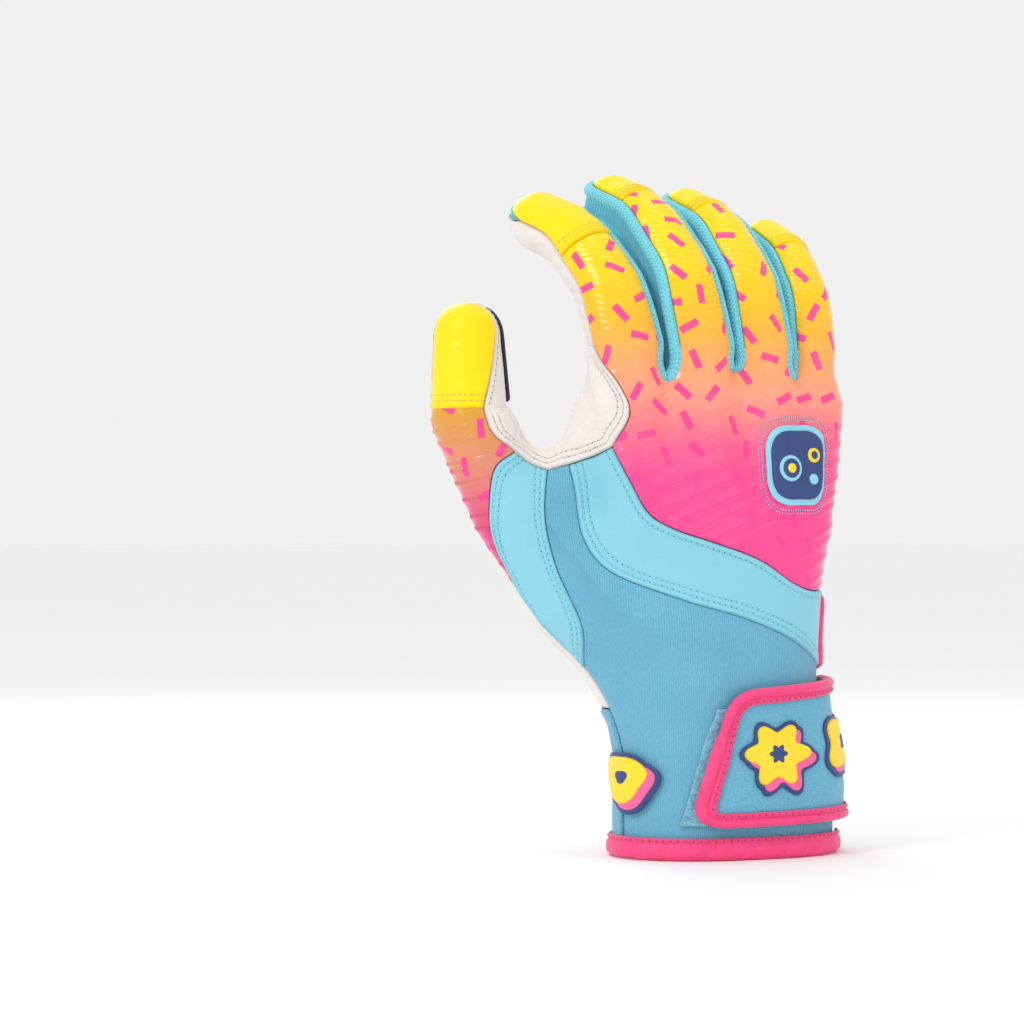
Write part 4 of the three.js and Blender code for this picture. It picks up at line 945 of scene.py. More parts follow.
class Seams:
    """All the lines that the hand's panels share."""

    def __init__(self):
        """Smooth curves through shares of the hand or turns round it; long edges are such lines joined."""
        self.webs = {(a, b): (web_edge(a, b, 0, -1), web_edge(a, b, 1, 1)) for a, b in zip(NAMES, NAMES[1:])}
        self.thumb_back_turn = base_turn("thumb", "right", 0)
        self.thumb_front_turn = base_turn("thumb", "right", 1)
        self.thumb_outer_turn = base_turn("thumb", "left", 0)
        thumb_gusset, strip_head = (-0.864, 0.393, 0.794), (-0.75, 0.214, 0.76)
        band_heel, band_top = (-0.67, 0.143, 0.768), (-0.551, -0.321, 0.802)
        thumb_at = lambda turn: finger_point("thumb", 0.0, turn, bare)
        index_at = lambda turn: base_point("index", turn)
        self.gusset_back = {
            "thumb": seam([thumb_at(self.thumb_back_turn), (-0.955, 0.429, 0.831), thumb_gusset], 4),
            "strip": seam([thumb_gusset, (-0.81, 0.3, 0.776), strip_head], 2),
            "stretch": seam([strip_head, band_heel], 2),
            "band": seam([band_heel, (-0.614, -0.07, 0.78), band_top], 3),
            "index": seam([band_top, (-0.5, -0.5, 0.87), (-0.534, -0.43, 0.921), (-0.574, -0.18, 0.966),
                           index_at(base_turn("index", "left", 0))], 7),
        }
        self.strip_top = seam([self.radial(STRIP_LEAVE), (-1.023, 0.61), (-1.034, 0.695), (-0.977, 0.763),
                               thumb_gusset], 8)
        self.strip_left = join(arc(self.radial, STRIP_HEIGHT, STRIP_LEAVE, 3), self.strip_top)
        self.strip_right = seam([around(RADIAL_TURN, STRIP_FOOT), (-0.648, 0.452), (-0.75, 0.571), (-0.773, 0.667),
                                 strip_head], 10)
        self.band_low = seam([band_heel, (-0.64, 0.7), (-0.625, 0.621), (-0.557, 0.565), (-0.295, 0.503),
                              (-0.068, 0.469), (0.125, 0.429), (0.284, 0.38), self.ulnar_back(BAND_FOOT)], 18)
        self.band_top = seam([band_top, (-0.489, 0.734), (-0.42, 0.672), (-0.33, 0.644), (-0.159, 0.616),
                              (0.034, 0.582), (0.182, 0.537), (0.295, 0.521), self.ulnar_back(BAND_HEAD)], 18)
        self.fold_back = self.fold(0, lambda name: base_turn(name, "left", 0))
        self.fold_palm = self.fold(1, lambda name: 360 - GUSSET_TURN if name == "index"
                                   else 360 + base_turn(name, "left", 1))
        self.gusset = join(*self.gusset_back.values())
        steps = (len(self.gusset) - 1) // FINE
        self.ridge = seam([thumb_at(70), (-0.85, 0.6, 0.836), (-0.795, 0.6, 0.808), (-0.705, 0.5, 0.797),
                           (-0.614, 0.25, 0.825), (-0.585, 0.07, 0.88), index_at(-106)], steps)
        self.gusset_front = seam([thumb_at(self.thumb_front_turn), (-0.81, 1.0, 0.84), (-0.76, 0.93, 0.797),
                                  (-0.682, 0.75, 0.763), (-0.6, 0.57, 0.78), (-0.55, 0.46, 0.836),
                                  (-0.545, 0.4, 0.91), index_at(-GUSSET_TURN)], steps)
        self.palm_top = join(thumb_edge(360 + self.thumb_outer_turn, self.thumb_front_turn, 6),
                             self.gusset_front, self.fold_palm)

    def fold(self, which, start):
        """The fingers' base lines and the webs' between them, end to end."""
        lines = []
        for k, name in enumerate(NAMES):
            lines.append(fold_line(name, start(name), base_turn(name, "right", which)))
            if k < len(NAMES) - 1:
                lines.append(self.webs[name, NAMES[k + 1]][which])
        return join(*lines)

    def radial(self, z):
        """The side seam along the thumb."""
        share = smooth((z - STRIP_HEIGHT) / (THUMB_FOLD - STRIP_HEIGHT))
        return around(lerp(RADIAL_TURN, self.thumb_outer_turn + PAD_TURN - 180, share), z)

    @staticmethod
    def back_turn(z):
        """The turn of the vent's back edge, eased into the side seam's."""
        return lerp(VENT_BACK_TURN, ULNAR_TURN, smooth((z - BAND_FOOT) / (VENT_TOP - BAND_FOOT)))

    @staticmethod
    def palm_turn(z):
        """The turn of its palm edge, eased late."""
        return lerp(VENT_PALM_TURN, ULNAR_TURN, smooth((z - HEEL) / (VENT_TOP - HEEL)) ** 3)

    def ulnar_back(self, z):
        """The points of the back edge."""
        return around(self.back_turn(z), z)

    def ulnar_palm(self, z):
        """The points of the palm edge."""
        return around(self.palm_turn(z), z)

    def vent_path(self):
        """The bound slit's line: up its back edge, round an arc and down its palm edge."""
        centre = VENT_TOP - VENT_RADIUS / 2
        up, down = np.linspace(BAND_FOOT, centre, 5), np.linspace(centre, HEEL + 3, 5)
        angle = np.radians(np.linspace(-60, 60, 5))
        return seam([*around(np.minimum(self.back_turn(up) - VENT_LAP, ULNAR_TURN - VENT_SPREAD), up),
                     *around(ULNAR_TURN + VENT_SPREAD * np.sin(angle), centre + VENT_RADIUS * np.cos(angle)),
                     *around(np.maximum(self.palm_turn(down), ULNAR_TURN + VENT_SPREAD), down)], 32)


def read(line, t):
    """A line read at shares of its count of points."""
    return read_at(np.asarray(t) * (len(line) - 1), np.arange(len(line)), line)


def coons(bottom, top, left, right, u, v):
    """Four edges blended over a square, less the corners they share."""
    u3, v3 = u[..., None], v[..., None]
    p = read(left, v) * (1 - u3) + read(right, v) * u3 + read(bottom, u) * (1 - v3) + read(top, u) * v3
    p -= bottom[0] * (1 - u3) * (1 - v3) + bottom[-1] * u3 * (1 - v3)
    return p - top[0] * (1 - u3) * v3 - top[-1] * u3 * v3


FACING_PULL = 6.0
WEB_LIFT = 1.2


def square(rows, columns):
    """Shares across and up a grid."""
    return np.meshgrid(np.linspace(0, 1, columns + 1), np.linspace(0, 1, rows + 1))


def panel(bottom, top, left, right, columns, rows, facing=None, open_top=False, crease=False, **steps):
    """A patch inside four seams: places and directions blended from the edges, then carried to the form.

    facing is where its middle looks; over a crease its normals are the blended ones."""
    edges = [settle(edge, hand, 3) for edge in (bottom, top, left, right)]
    normals = [unit(slope(edge, hand)) for edge in edges]
    u, v = square(rows, columns)
    wide = norm(coons(*edges, u * 0 + 1, v) - coons(*edges, u * 0, v))
    tall = norm(coons(*edges, u, v * 0 + 1) - coons(*edges, u, v * 0))
    inset_u = SEAM_GAP / 2 / np.maximum(wide, 1) * (0 if crease else 1)
    inset_v = SEAM_GAP / 2 / np.maximum(tall, 1)
    top_inset = inset_v * (0 if open_top else 1)
    u, v = inset_u + u * (1 - 2 * inset_u), inset_v + v * (1 - inset_v - top_inset)
    p = coons(*edges, u, v)
    direction = coons(*normals, u, v)
    outward = direction
    if facing is not None:
        middle = np.maximum(u * (1 - u) * v * (1 - v), 0)[..., None]
        outward = unit(direction + np.asarray(facing) * FACING_PULL * middle)
        direction = direction + np.asarray(facing) * FACING_PULL * np.sqrt(middle)
    direction = unit(direction)
    patch = Patch(reach(p, direction, hand), direction, hand, **steps)
    if crease:
        patch.normal = unit(refined(outward, *patch.shape))
    return patch


def ribbon(seams, rows):
    """A patch through three lines, by the parabola through their points."""
    normals = [unit(slope(line, hand)) for line in seams]
    count = (len(seams[0]) - 1) // 2
    j, t = np.meshgrid(np.linspace(0, 1, count + 1), np.linspace(0, 1, rows + 1))
    wide = sum(norm(read(a, j) - read(b, j)) for a, b in zip(seams, seams[1:]))
    inset = SEAM_GAP / 2 / wide
    t = (inset + t * (1 - 2 * inset))[..., None]
    through = lambda a, b, c: read(a, j) * (1 - t) * (1 - 2 * t) + read(b, j) * 4 * t * (1 - t) \
        + read(c, j) * t * (2 * t - 1)
    direction = unit(through(*normals))
    return Patch(reach(through(*seams), direction, hand), direction, hand)


def layer(x, z, face, **steps):
    """A patch of a second layer, given as places on one face of the hand."""
    origin, direction = unrolled_rays(x, z, face)
    return Patch(reach(origin, direction, hand), direction, hand, **steps)


def face_patch(name, face, start, end, over_tip, grown=(0, 0, 0), **steps):
    """One face of a digit: rows along its length, then a half disc of directions over its round tip.

    grown is how many degrees it goes past its seams at the left, the right and the tip."""
    line = LINES[name]
    sign = 1 if face else -1
    rows = max(3, int(round((end - start) / 3)))
    u = np.linspace(-1, 1, 25)
    s = np.linspace(start, end, rows + 1)[:, None]
    trim = np.degrees(SEAM_GAP / 2 / line.girth(s))
    edge = {side: 90 - sign * rise_at(name, side, face, s) - trim + extra
            for side, extra in zip(("left", "right"), grown)}
    away = np.where(u < 0, u * edge["left"], u * edge["right"])
    origins, directions = finger_ray(name, np.broadcast_to(s, away.shape), 180 - away if face else away)
    if over_tip:
        w = np.linspace(0, 1, 9)[1:, None]
        a, b = u * np.sqrt(1 - w * w / 2), w * np.sqrt(1 - u * u / 2)
        sweep = np.degrees(np.arctan2(b, a))
        left, right, _ = rises(name)
        rise = lerp(right[face], left[face], sweep / 180)
        trim = np.degrees(SEAM_GAP / 2 / line.girths[1])
        extra = np.interp(sweep, (0, 90, 180), (grown[1], grown[2], grown[0]))
        pole = np.hypot(a, b) * (90 - sign * rise - trim + extra)
        tip_origin, tip_direction = tip_ray(name, sweep, sign * (90 - pole))
        origins = np.concatenate([origins, tip_origin])
        directions = np.concatenate([directions, tip_direction])
    field = digit(name)
    return Patch(reach(origins, directions, field), directions, field, **steps)


WALL_TAPER = 5


def wall_patch(name):
    """The wall between a digit's two faces: up one side, over the tip and down the other."""
    line = LINES[name]
    left, right, base_right = rises(name)
    u = np.linspace(0, 1, 9)
    s = np.concatenate([[-TUCK], np.linspace(0, line.length, 19)])[:, None]
    trim = np.degrees(SEAM_GAP / 2 / line.girth(s))
    origins, directions = [], []

    def side_rows(side, s, trim):
        """Rows of rays along one side, between the wall's two edges."""
        low, high = (rise_at(name, side, which, s) for which in (0, 1))
        rise = lerp(low + trim, high - trim, u)
        turn = 90 + rise if side == "right" else -90 - rise
        o, d = finger_ray(name, np.broadcast_to(s, turn.shape), turn)
        origins.append(o)
        directions.append(d)

    is_open = {"left": left[1] > left[0], "right": right[1] > right[0]}
    if is_open["right"]:
        side_rows("right", s[:-1], trim[:-1])
    sweep = np.linspace(0 if is_open["right"] else WALL_TAPER, 180 if is_open["left"] else 180 - WALL_TAPER,
                        17)[:, None]
    tip_trim = np.degrees(SEAM_GAP / 2 / line.girths[1])
    low, high = (lerp(right[which], left[which], sweep / 180) for which in (0, 1))
    o, d = tip_ray(name, sweep + 0 * u, lerp(low + tip_trim, high - tip_trim, u))
    origins.append(o)
    directions.append(d)
    if is_open["left"]:
        side_rows("left", s[::-1][1:], trim[::-1][1:])
    field = digit(name)
    origins, directions = np.concatenate(origins), np.concatenate(directions)
    return Patch(reach(origins, directions, field), directions, field)


# Materials

MATERIALS = {}


def rgba(name):
    """A colour setting, opaque."""
    return (*getattr(bpy.context.scene.glove_colours, name), 1.0)


def toned(tint, by):
    """A tint times a factor."""
    return (*[c * by for c in tint[:3]], 1)


def link(tree, value, socket):
    """Links a socket's value, or sets a plain one."""
    if isinstance(value, bpy.types.NodeSocket):
        tree.links.new(value, socket)
    elif value is not None:
        socket.default_value = value


class Finish:
    """One material: each method adds a node and gives back what it puts out."""

    def __init__(self, name, roughness, **sockets):
        """A Principled material with its plain values."""
        self.material = bpy.data.materials.new(name)
        self.material.use_nodes = True
        self.tree = self.material.node_tree
        self.shader = self.tree.nodes["Principled BSDF"]
        self.use(Roughness=roughness, **sockets)
        MATERIALS[name] = self.material

    def node(self, kind, values=(), out=0, **settings):
        """Adds a node, and sets it and its inputs."""
        node = self.tree.nodes.new("ShaderNode" + kind)
        for key, value in settings.items():
            setattr(node, key, value)
        for key, value in values.items() if isinstance(values, dict) else enumerate(values):
            link(self.tree, value, node.inputs[key])
        return node.outputs[out]

    def rest(self):
        return self.node("Attribute", out="Vector", attribute_name="rest")

    def flow(self):
        return self.node("UVMap", uv_map="flow")

    def value(self, name, out="Fac"):
        return self.node("Attribute", out=out, attribute_name=name)

    def math(self, operation, *values):
        return self.node("Math", values, operation=operation)

    def times(self, a, b):
        return self.math("MULTIPLY", a, b)

    def plus(self, a, b):
        return self.math("ADD", a, b)

    def wave(self, value, pitch):
        """Sine of a value, with a pitch in millimetres."""
        return self.math("SINE", self.times(value, 2 * np.pi / pitch))

    def noise(self, vector, scale, detail=2.0, roughness=0.5):
        return self.node("TexNoise", {"Vector": vector, "Scale": scale, "Detail": detail, "Roughness": roughness})

    def cells(self, vector, scale, feature="DISTANCE_TO_EDGE"):
        return self.node("TexVoronoi", {"Vector": vector, "Scale": scale}, feature=feature, out="Distance")

    def scaled(self, vector, by):
        return self.node("VectorMath", {0: vector, 1: by}, operation="MULTIPLY")

    def part(self, vector, axis):
        return self.node("SeparateXYZ", (vector,), out=axis)

    def range(self, value, low, high, to_low=0.0, to_high=1.0):
        return self.node("MapRange", {"Value": value, "From Min": low, "From Max": high, "To Min": to_low,
                                      "To Max": to_high})

    def mix(self, share, first, second):
        node = self.tree.nodes.new("ShaderNodeMix")
        node.data_type = "RGBA"
        for name, kind, value in (("Factor", "VALUE", share), ("A", "RGBA", first), ("B", "RGBA", second)):
            link(self.tree, value, next(s for s in node.inputs if (s.name, s.enabled, s.type) == (name, True, kind)))
        return next(s for s in node.outputs if s.type == "RGBA")

    def ramp(self, value, stops):
        node = self.tree.nodes.new("ShaderNodeValToRGB")
        self.tree.links.new(value, node.inputs[0])
        elements = node.color_ramp.elements
        while len(elements) < len(stops):
            elements.new(1.0)
        for element, (at, tint) in zip(elements, stops):
            element.position = at
            element.color = tint
        return node.outputs["Color"]

    def bump(self, height, strength, distance, below=None):
        """Relief by a pattern's height; distance is in millimetres."""
        return self.node("Bump", {"Height": height, "Strength": strength, "Distance": distance / METRE,
                                  "Normal": below})

    def use(self, **links):
        for name, value in links.items():
            link(self.tree, value, self.shader.inputs[name.replace("_", " ")])


def leather(name, tint, deep, grain=1.0, roughness=0.55, coat=0.0, soil_and_shade=0.5, shine=0.4):
    """Leather: pebbled grain from cell edges, soft mottling, painted shade darkening the grooves and creases of the
    grain, and painted shade by the seams.
    """
    f = Finish(name, roughness, Coat_Weight=coat, Coat_Roughness=0.25, Sheen_Weight=0.06, Specular_IOR_Level=shine)
    at = f.rest()
    drift = f.scaled(f.node("TexNoise", {"Vector": at, "Scale": 0.9}, out="Color"), (0.9, 0.9, 0.9))
    warp = f.node("VectorMath", {0: at, 1: drift}, operation="ADD")
    pebble = f.cells(warp, 1.25 / grain)
    fine = f.cells(at, 2.6 / grain)
    mottle = f.noise(at, 0.05, 4.0, 0.6)
    # Painted shade: darker in the grooves between the pebbles and in a band along each seam; the blotch is the
    # leather's own mottling.
    pore_shade = f.times(f.range(pebble, 0.0, 0.12, 1.0, 0.0), 0.22 * soil_and_shade)
    blotch = f.range(mottle, 0.35, 0.7, 0.0, 0.35 * soil_and_shade)
    seam_shade = f.range(f.value("edge"), 0.0, 1.3, 0.75 * soil_and_shade, 0.0)
    total = f.math("MINIMUM", f.plus(f.plus(pore_shade, blotch), seam_shade), 1.0)
    height = f.plus(f.times(f.range(pebble, 0.0, 0.25), 0.7), f.times(f.range(fine, 0.0, 0.2), 0.3))
    wrinkle = f.noise(f.scaled(at, (1.0, 1.0, 2.2)), 0.35, 3.0, 0.6)
    f.use(Base_Color=f.mix(total, tint, deep), Normal=f.bump(height, 0.35, 0.12, f.bump(wrinkle, 0.35, 0.5)),
          Roughness=f.range(mottle, 0.3, 0.7, roughness - 0.06, roughness + 0.08))


def printed_gel(name, low, high, strength=1.0):
    """Glossy clear gel over a print: yellow to pink down the hand, with crisp flecks and fine moulded lines."""
    f = Finish(name, 0.3, Coat_Weight=0.75, Coat_Roughness=0.06, Specular_IOR_Level=0.05)
    at = f.rest()
    drift = f.times(f.math("SUBTRACT", f.noise(at, 0.03, 2.0), 0.5), 7.0)
    share = f.range(f.plus(f.part(at, "Z"), drift), low, high)
    # A strength below 1 darkens every tone of the print: painted shade.
    tint = f.ramp(share, [(stop, toned(rgba(tone), strength)) for stop, tone in (
        (0.1, "pink"), (0.16, "candy"), (0.25, "rose"), (0.4, "coral"), (0.49, "peach"), (0.57, "amber"),
        (0.66, "gold"), (0.84, "yellow"))])
    local = f.value("fleck", "Vector")
    x, y = (f.math("ABSOLUTE", f.part(local, axis)) for axis in "XY")
    inside = f.times(f.range(x, 3.35, 3.5, 1.0, 0.0), f.range(y, 1.2, 1.35, 1.0, 0.0))
    inside = f.times(inside, f.range(f.part(local, "Z"), 3.8, 3.9, 1.0, 0.0))
    f.use(Base_Color=f.mix(f.times(inside, 0.95), tint, rgba("fleck")),
          Roughness=f.range(f.noise(at, 0.12, 3.0), 0.3, 0.7, 0.22, 0.38),
          Normal=f.bump(f.noise(at, 1.6, 2.0), 0.1, 0.08))


def knit_mesh():
    """Knit mesh: staggered knots with a small shaded hole beside each, lighter on the lips than on the sunk floor."""
    f = Finish("cyan_mesh", 0.75, Sheen_Weight=0.35, Sheen_Roughness=0.4)
    flow = f.flow()
    knots = f.times(f.wave(f.part(flow, "X"), 1.9), f.wave(f.part(flow, "Y"), 1.6))
    hole = f.range(knots, 0.0, -0.7)
    cloud = f.range(f.noise(f.rest(), 0.25, 3.0), 0.35, 0.7, 0.0, 0.2)
    depth = f.range(f.value("edge"), 2.8, 5.5, 0.0, 0.6)
    tint = f.mix(f.math("MAXIMUM", cloud, depth), rgba("cyan"), rgba("cyan_deep"))
    f.use(Base_Color=f.mix(f.times(hole, 0.55), tint, rgba("cyan_deep")),
          Normal=f.bump(f.plus(f.times(f.noise(flow, 5.0, 2.0), 0.4), knots), 0.8, 0.35))


def stretch_knit(name, rib=0.75, lean=0.0):
    """Stretch knit: fine ribs along the hand, each broken into short loops, with a mottled yarn and painted shade in
    the furrows between the ribs.
    """
    f = Finish(name, 0.82, Sheen_Weight=0.4, Sheen_Roughness=0.35)
    flow = f.flow()
    x, y = f.part(flow, "X"), f.part(flow, "Y")
    wave = f.wave(f.plus(x, f.times(y, lean)), rib)
    loops = f.math("SINE", f.plus(f.times(y, 2 * np.pi / (rib * 0.8)), f.times(wave, 1.4)))
    mottle = f.noise(f.scaled(flow, (1.4, 0.5, 1.0)), 1.2, 4.0, 0.7)
    # Painted shade: darker in the furrows between the ribs; the mottle is the yarn's own.
    total = f.plus(f.range(wave, -1.0, 0.4, 0.42, 0.0), f.range(mottle, 0.42, 0.66, 0.0, 0.35))
    tint = f.mix(f.range(f.noise(f.rest(), 0.06, 3.0), 0.3, 0.7, 0.0, 0.25), rgba("knit"), rgba("sky"))
    f.use(Base_Color=f.mix(f.math("MINIMUM", total, 0.8), tint, rgba("knit_shade_and_mottle")),
          Normal=f.bump(f.plus(wave, f.times(loops, 0.45)), 0.4, 0.16))


def neoprene():
    """Strap cloth: a tight jersey over foam, finely mottled, without ribs."""
    f = Finish("neoprene", 0.85, Sheen_Weight=0.4, Sheen_Roughness=0.35)
    at = f.rest()
    mottle = f.range(f.noise(at, 1.6, 4.0, 0.7), 0.4, 0.65, 0.0, 0.55)
    f.use(Base_Color=f.mix(mottle, rgba("knit"), rgba("knit_shade_and_mottle")), Normal=f.bump(f.cells(at, 2.0), 0.4, 0.15))


def woven_tape(name, tint, deep):
    """Woven tape: a fine twill of crossed diagonal threads under a soft sheen, with painted shade where the weave is
    low.
    """
    f = Finish(name, 0.52, Sheen_Weight=0.35, Sheen_Roughness=0.3)
    flow = f.flow()
    x, y = f.part(flow, "X"), f.part(flow, "Y")
    second = f.wave(f.math("SUBTRACT", x, y), 0.9)
    weave = f.times(f.plus(f.wave(f.plus(x, y), 0.6), f.times(second, 0.5)), 0.66)
    cloud = f.range(f.noise(f.rest(), 0.3, 3.0), 0.4, 0.7, 0.0, 0.22)
    # Painted shade: darker between the threads where the weave is low; the cloud is the tape's own.
    total = f.plus(f.range(weave, -1.0, 0.3, 0.3, 0.0), cloud)
    f.use(Base_Color=f.mix(total, tint, deep), Normal=f.bump(weave, 0.3, 0.1))


def suede():
    """Black suede: short nap from two sizes of noise, lighter where it is brushed."""
    f = Finish("black_suede", 0.95, Sheen_Weight=0.7, Sheen_Roughness=0.5, Sheen_Tint=(0.45, 0.45, 0.5, 1))
    at = f.rest()
    brushed = f.range(f.noise(f.scaled(at, (1.0, 1.0, 0.4)), 0.35, 3.0), 0.45, 0.75, 0.0, 0.5)
    f.use(Base_Color=f.mix(brushed, rgba("suede"), (0.035, 0.034, 0.038, 1)),
          Normal=f.bump(f.noise(at, 4.0, 3.0, 0.7), 0.7, 0.2))


def pile():
    """Loop pile: a tangle of fine loops, from warped cells and high noise, with painted shade where the pile is low.
    """
    f = Finish("loop_pile", 1.0, Sheen_Weight=0.6, Sheen_Roughness=0.5)
    at = f.rest()
    height = f.plus(f.cells(at, 1.7, "SMOOTH_F1"), f.times(f.noise(at, 5.0, 4.0, 0.75), 0.8))
    # Painted shade: the darker knit tint where the pile is low, the loop tint on its tops.
    f.use(Base_Color=f.mix(f.range(height, 0.35, 1.0), rgba("knit"), rgba("loop")), Normal=f.bump(height, 0.9, 0.4))


def rubber(name, tint, roughness):
    """Moulded rubber: satin, with a faint cloud and fine dust-like roughness."""
    f = Finish(name, roughness, Coat_Weight=0.25, Coat_Roughness=0.35)
    at = f.rest()
    f.use(Base_Color=f.mix(f.range(f.noise(at, 0.25, 3.0), 0.35, 0.7, 0.0, 0.4), tint, toned(tint, 0.82)),
          Roughness=f.range(f.noise(at, 2.0, 2.0), 0.3, 0.7, roughness - 0.08, roughness + 0.1),
          Normal=f.bump(f.noise(at, 3.0, 2.0), 0.15, 0.06))


def thread(name, tint):
    """Sewing thread: a two-ply twist as a slanted wave along each stitch, with painted shade in the groove between the
    plies.
    """
    f = Finish(name, 0.5, Sheen_Weight=0.3)
    flow = f.flow()
    twist = f.wave(f.plus(f.part(flow, "X"), f.part(flow, "Y")), 0.55)
    # Painted shade: the tint falls to 0.55 of itself in the grooves of the twist.
    f.use(Base_Color=f.mix(f.range(twist, -1.0, 0.2, 0.6, 0.0), tint, toned(tint, 0.55)),
          Normal=f.bump(twist, 0.5, 0.06))


def painted_hole_shade(name, tint):
    """The shaded inside of a punched or needle hole."""
    f = Finish(name, 0.9)
    f.use(Base_Color=f.mix(f.noise(f.rest(), 2.0), tint, toned(tint, 1.5)))


def floor_paint():
    """Near-white paint with a faint cloud."""
    f = Finish("pale_floor", 0.65)
    cloud = f.noise(f.node("TexCoord", out="Object"), 1.5, 3.0)
    f.use(Base_Color=f.mix(cloud, (0.975, 0.975, 0.98, 1), (0.995, 0.995, 1, 1)))


def make_materials():
    """All finishes, with their tints."""
    # Each leather's second tint is painted shade in its grain grooves and by its seams, and the tone of its own
    # mottling.
    leather("white_leather", rgba("white"), rgba("crease"), 1.0, 0.52, 0.0, 0.55)
    leather("yellow_leather", rgba("cap"), tuple(c * k for c, k in zip(rgba("cap"), (0.9, 0.72, 1, 1))),
            0.8, 0.34, 0.25, 0.5, 0.12)
    leather("blue_leather", rgba("sky"), rgba("knit"), 0.7, 0.42, 0.1, 0.35)
    printed_gel("printed_gel", 112.0, 236.0)
    # The thumb's print at 0.72 of its tones: a darker copy as painted shade.
    printed_gel("thumb_gel", 94.0, 200.0, 0.72)
    knit_mesh()
    stretch_knit("stretch_knit")
    stretch_knit("cuff_knit", 0.7, 0.55)
    neoprene()
    woven_tape("pink_tape", rgba("binding"), rgba("pink_hole"))
    suede()
    pile()
    rubber("navy_rubber", rgba("navy"), 0.45)
    rubber("pink_rubber", rgba("shadow"), 0.45)
    rubber("yellow_rubber", rgba("lemon"), 0.4)
    rubber("pale_rubber", rgba("halo"), 0.4)
    for name in ("grey", "blue", "gold", "pink"):
        thread(name + "_thread", rgba(name + "_thread"))
        painted_hole_shade(name + "_hole", rgba(name + "_hole"))
    # Near black: painted shade inside the punched holes.
    painted_hole_shade("punched_hole", (0.02, 0.018, 0.016, 1))


# Flecks of the print

class Flecks:
    """Printed rectangles: centres kept apart on the surface, each with its own turn."""

    def __init__(self, patches, rng):
        """Points in a drawn order, each kept if no kept one is nearer than the spacing."""
        stride = 4
        points = np.concatenate([p.base[::stride, ::stride].reshape(-1, 3) for p in patches])
        normals = np.concatenate([p.normal[::stride, ::stride].reshape(-1, 3) for p in patches])
        order = rng.permutation(len(points))
        points, normals = points[order], normals[order]
        free = np.ones(len(points), bool)
        gap = mm("fleck_gap")
        chosen = []
        while free.any():
            k = int(np.argmax(free))
            chosen.append(k)
            free &= norm(points - points[k]) > gap
        self.centre, normal = points[chosen], normals[chosen]
        turn = rng.random(len(chosen)) * np.pi
        level = unit(np.cross(normal, (0, 0, 1.0)))
        up = np.cross(level, normal)
        c, s = np.cos(turn)[:, None], np.sin(turn)[:, None]
        self.long, self.short = level * c + up * s, up * c - level * s

    def read(self, patch):
        """Each point's place in its nearest fleck's own axes."""
        flat = patch.base.reshape(-1, 3)
        nearest = np.concatenate([((part[:, None] - self.centre[None]) ** 2).sum(-1).argmin(1)
                                  for part in np.array_split(flat, 30)])
        away = flat - self.centre[nearest]
        local = [(away * self.long[nearest]).sum(1), (away * self.short[nearest]).sum(1), norm(away)]
        return np.stack(local, -1).reshape(*patch.shape, 3)


LINE_SLANT = np.tan(np.radians(22))


def hand_ridges(p):
    """Moulded lines of the hand: slanted steps at uneven distances, sharp above and soft below, fading at the fold."""
    draw = np.random.default_rng(3)
    lines = np.cumsum(draw.uniform(3.0, 8.5, 40)) + 60
    away = p[..., 2, None] - p[..., 0, None] * LINE_SLANT - lines
    nearest = np.take_along_axis(away, np.abs(away).argmin(-1)[..., None], -1)[..., 0]
    step = np.exp(-(nearest / np.where(nearest > 0, 0.4, 1.5)) ** 2)
    return step * (0.7 + 1.3 * noise(p, 16.0, 2)) * (1 - smooth((p[..., 2] - 160) / 14))


def finger_ridges(patch):
    """Moulded arches across a finger at an even pitch, fading in above the fold and out at the sides."""
    s = patch.bottom
    middle = patch.left - patch.left[:, -1:] / 2
    wide = np.maximum(patch.left[:, -1:] / 2, 1)
    wave = np.sin(2 * np.pi * (s - 3.2 * (middle / wide) ** 2) / 2.3)
    strength = 0.5 + 0.6 * noise(patch.base, 11.0, 4)
    return np.maximum(wave, -0.3) * smooth(s / 9) * strength * smooth(patch.near("left", "right") / 2.2)


# Pieces

def finger_bend(name):
    """Where a digit's cloth starts to turn with it and where it turns whole."""
    base = LINES[name].at(0)
    tip, rise = ("thumb_tip", 12.0) if name == "thumb" else (name + "_finger", 19.0)
    return ("hand", tip, base, base + (0, 0, rise))


def puffed(patch, rows, start=0.2):
    """Relief of sewn edges: a groove along each row of stitches, and a swell up to it from the row before."""
    total = 0
    for side, marks in rows.items():
        run, last = getattr(patch, side), start
        for at, puff, *groove in marks:
            total = total + dent(run, at, *groove) + swell(run, last, at, puff)
            last = at
    return total


def cloth(name, slot, patch, high, finish, edge=None, low=-SKIN, fleck=None, flow=None, holes=(), rows={},
          thread="grey", trim=1.5, extra=(), **carried):
    """One skin: a shell on its patch, punched holes, and rows of stitches at distances from its sides."""
    piece = Piece(name)
    surface = piece.shell(patch, high, low, finish, patch.near() if edge is None else edge, fleck, flow)
    punch(piece, patch, surface, holes)
    for side, marks in rows.items():
        for mark in marks:
            stitch(piece, line_on(patch, surface, side, mark[0], trim), thread)
    for value, share in extra:
        stitch(piece, level_line(patch, surface, value, share), thread)
    piece.write(slot, cut=None if "fill" in carried else patch, **carried)


def fold_marks(patch, name):
    """Creases across a finger's front at its fold and knuckles."""
    first, second, _ = FINGERS[name]["bones"]
    total = 0
    wander = (noise(patch.base, 7.0, 5) - 0.5) * 5
    for at in (2.0, first, first + second):
        for shift, share in ((-3.4, 0.5), (0.0, 1.0), (3.0, 0.6)):
            total = total + share * np.exp(-((patch.bottom - at - shift + wander) / 0.7) ** 2)
    return -0.5 * total * smooth(patch.near("left", "right") / 3)


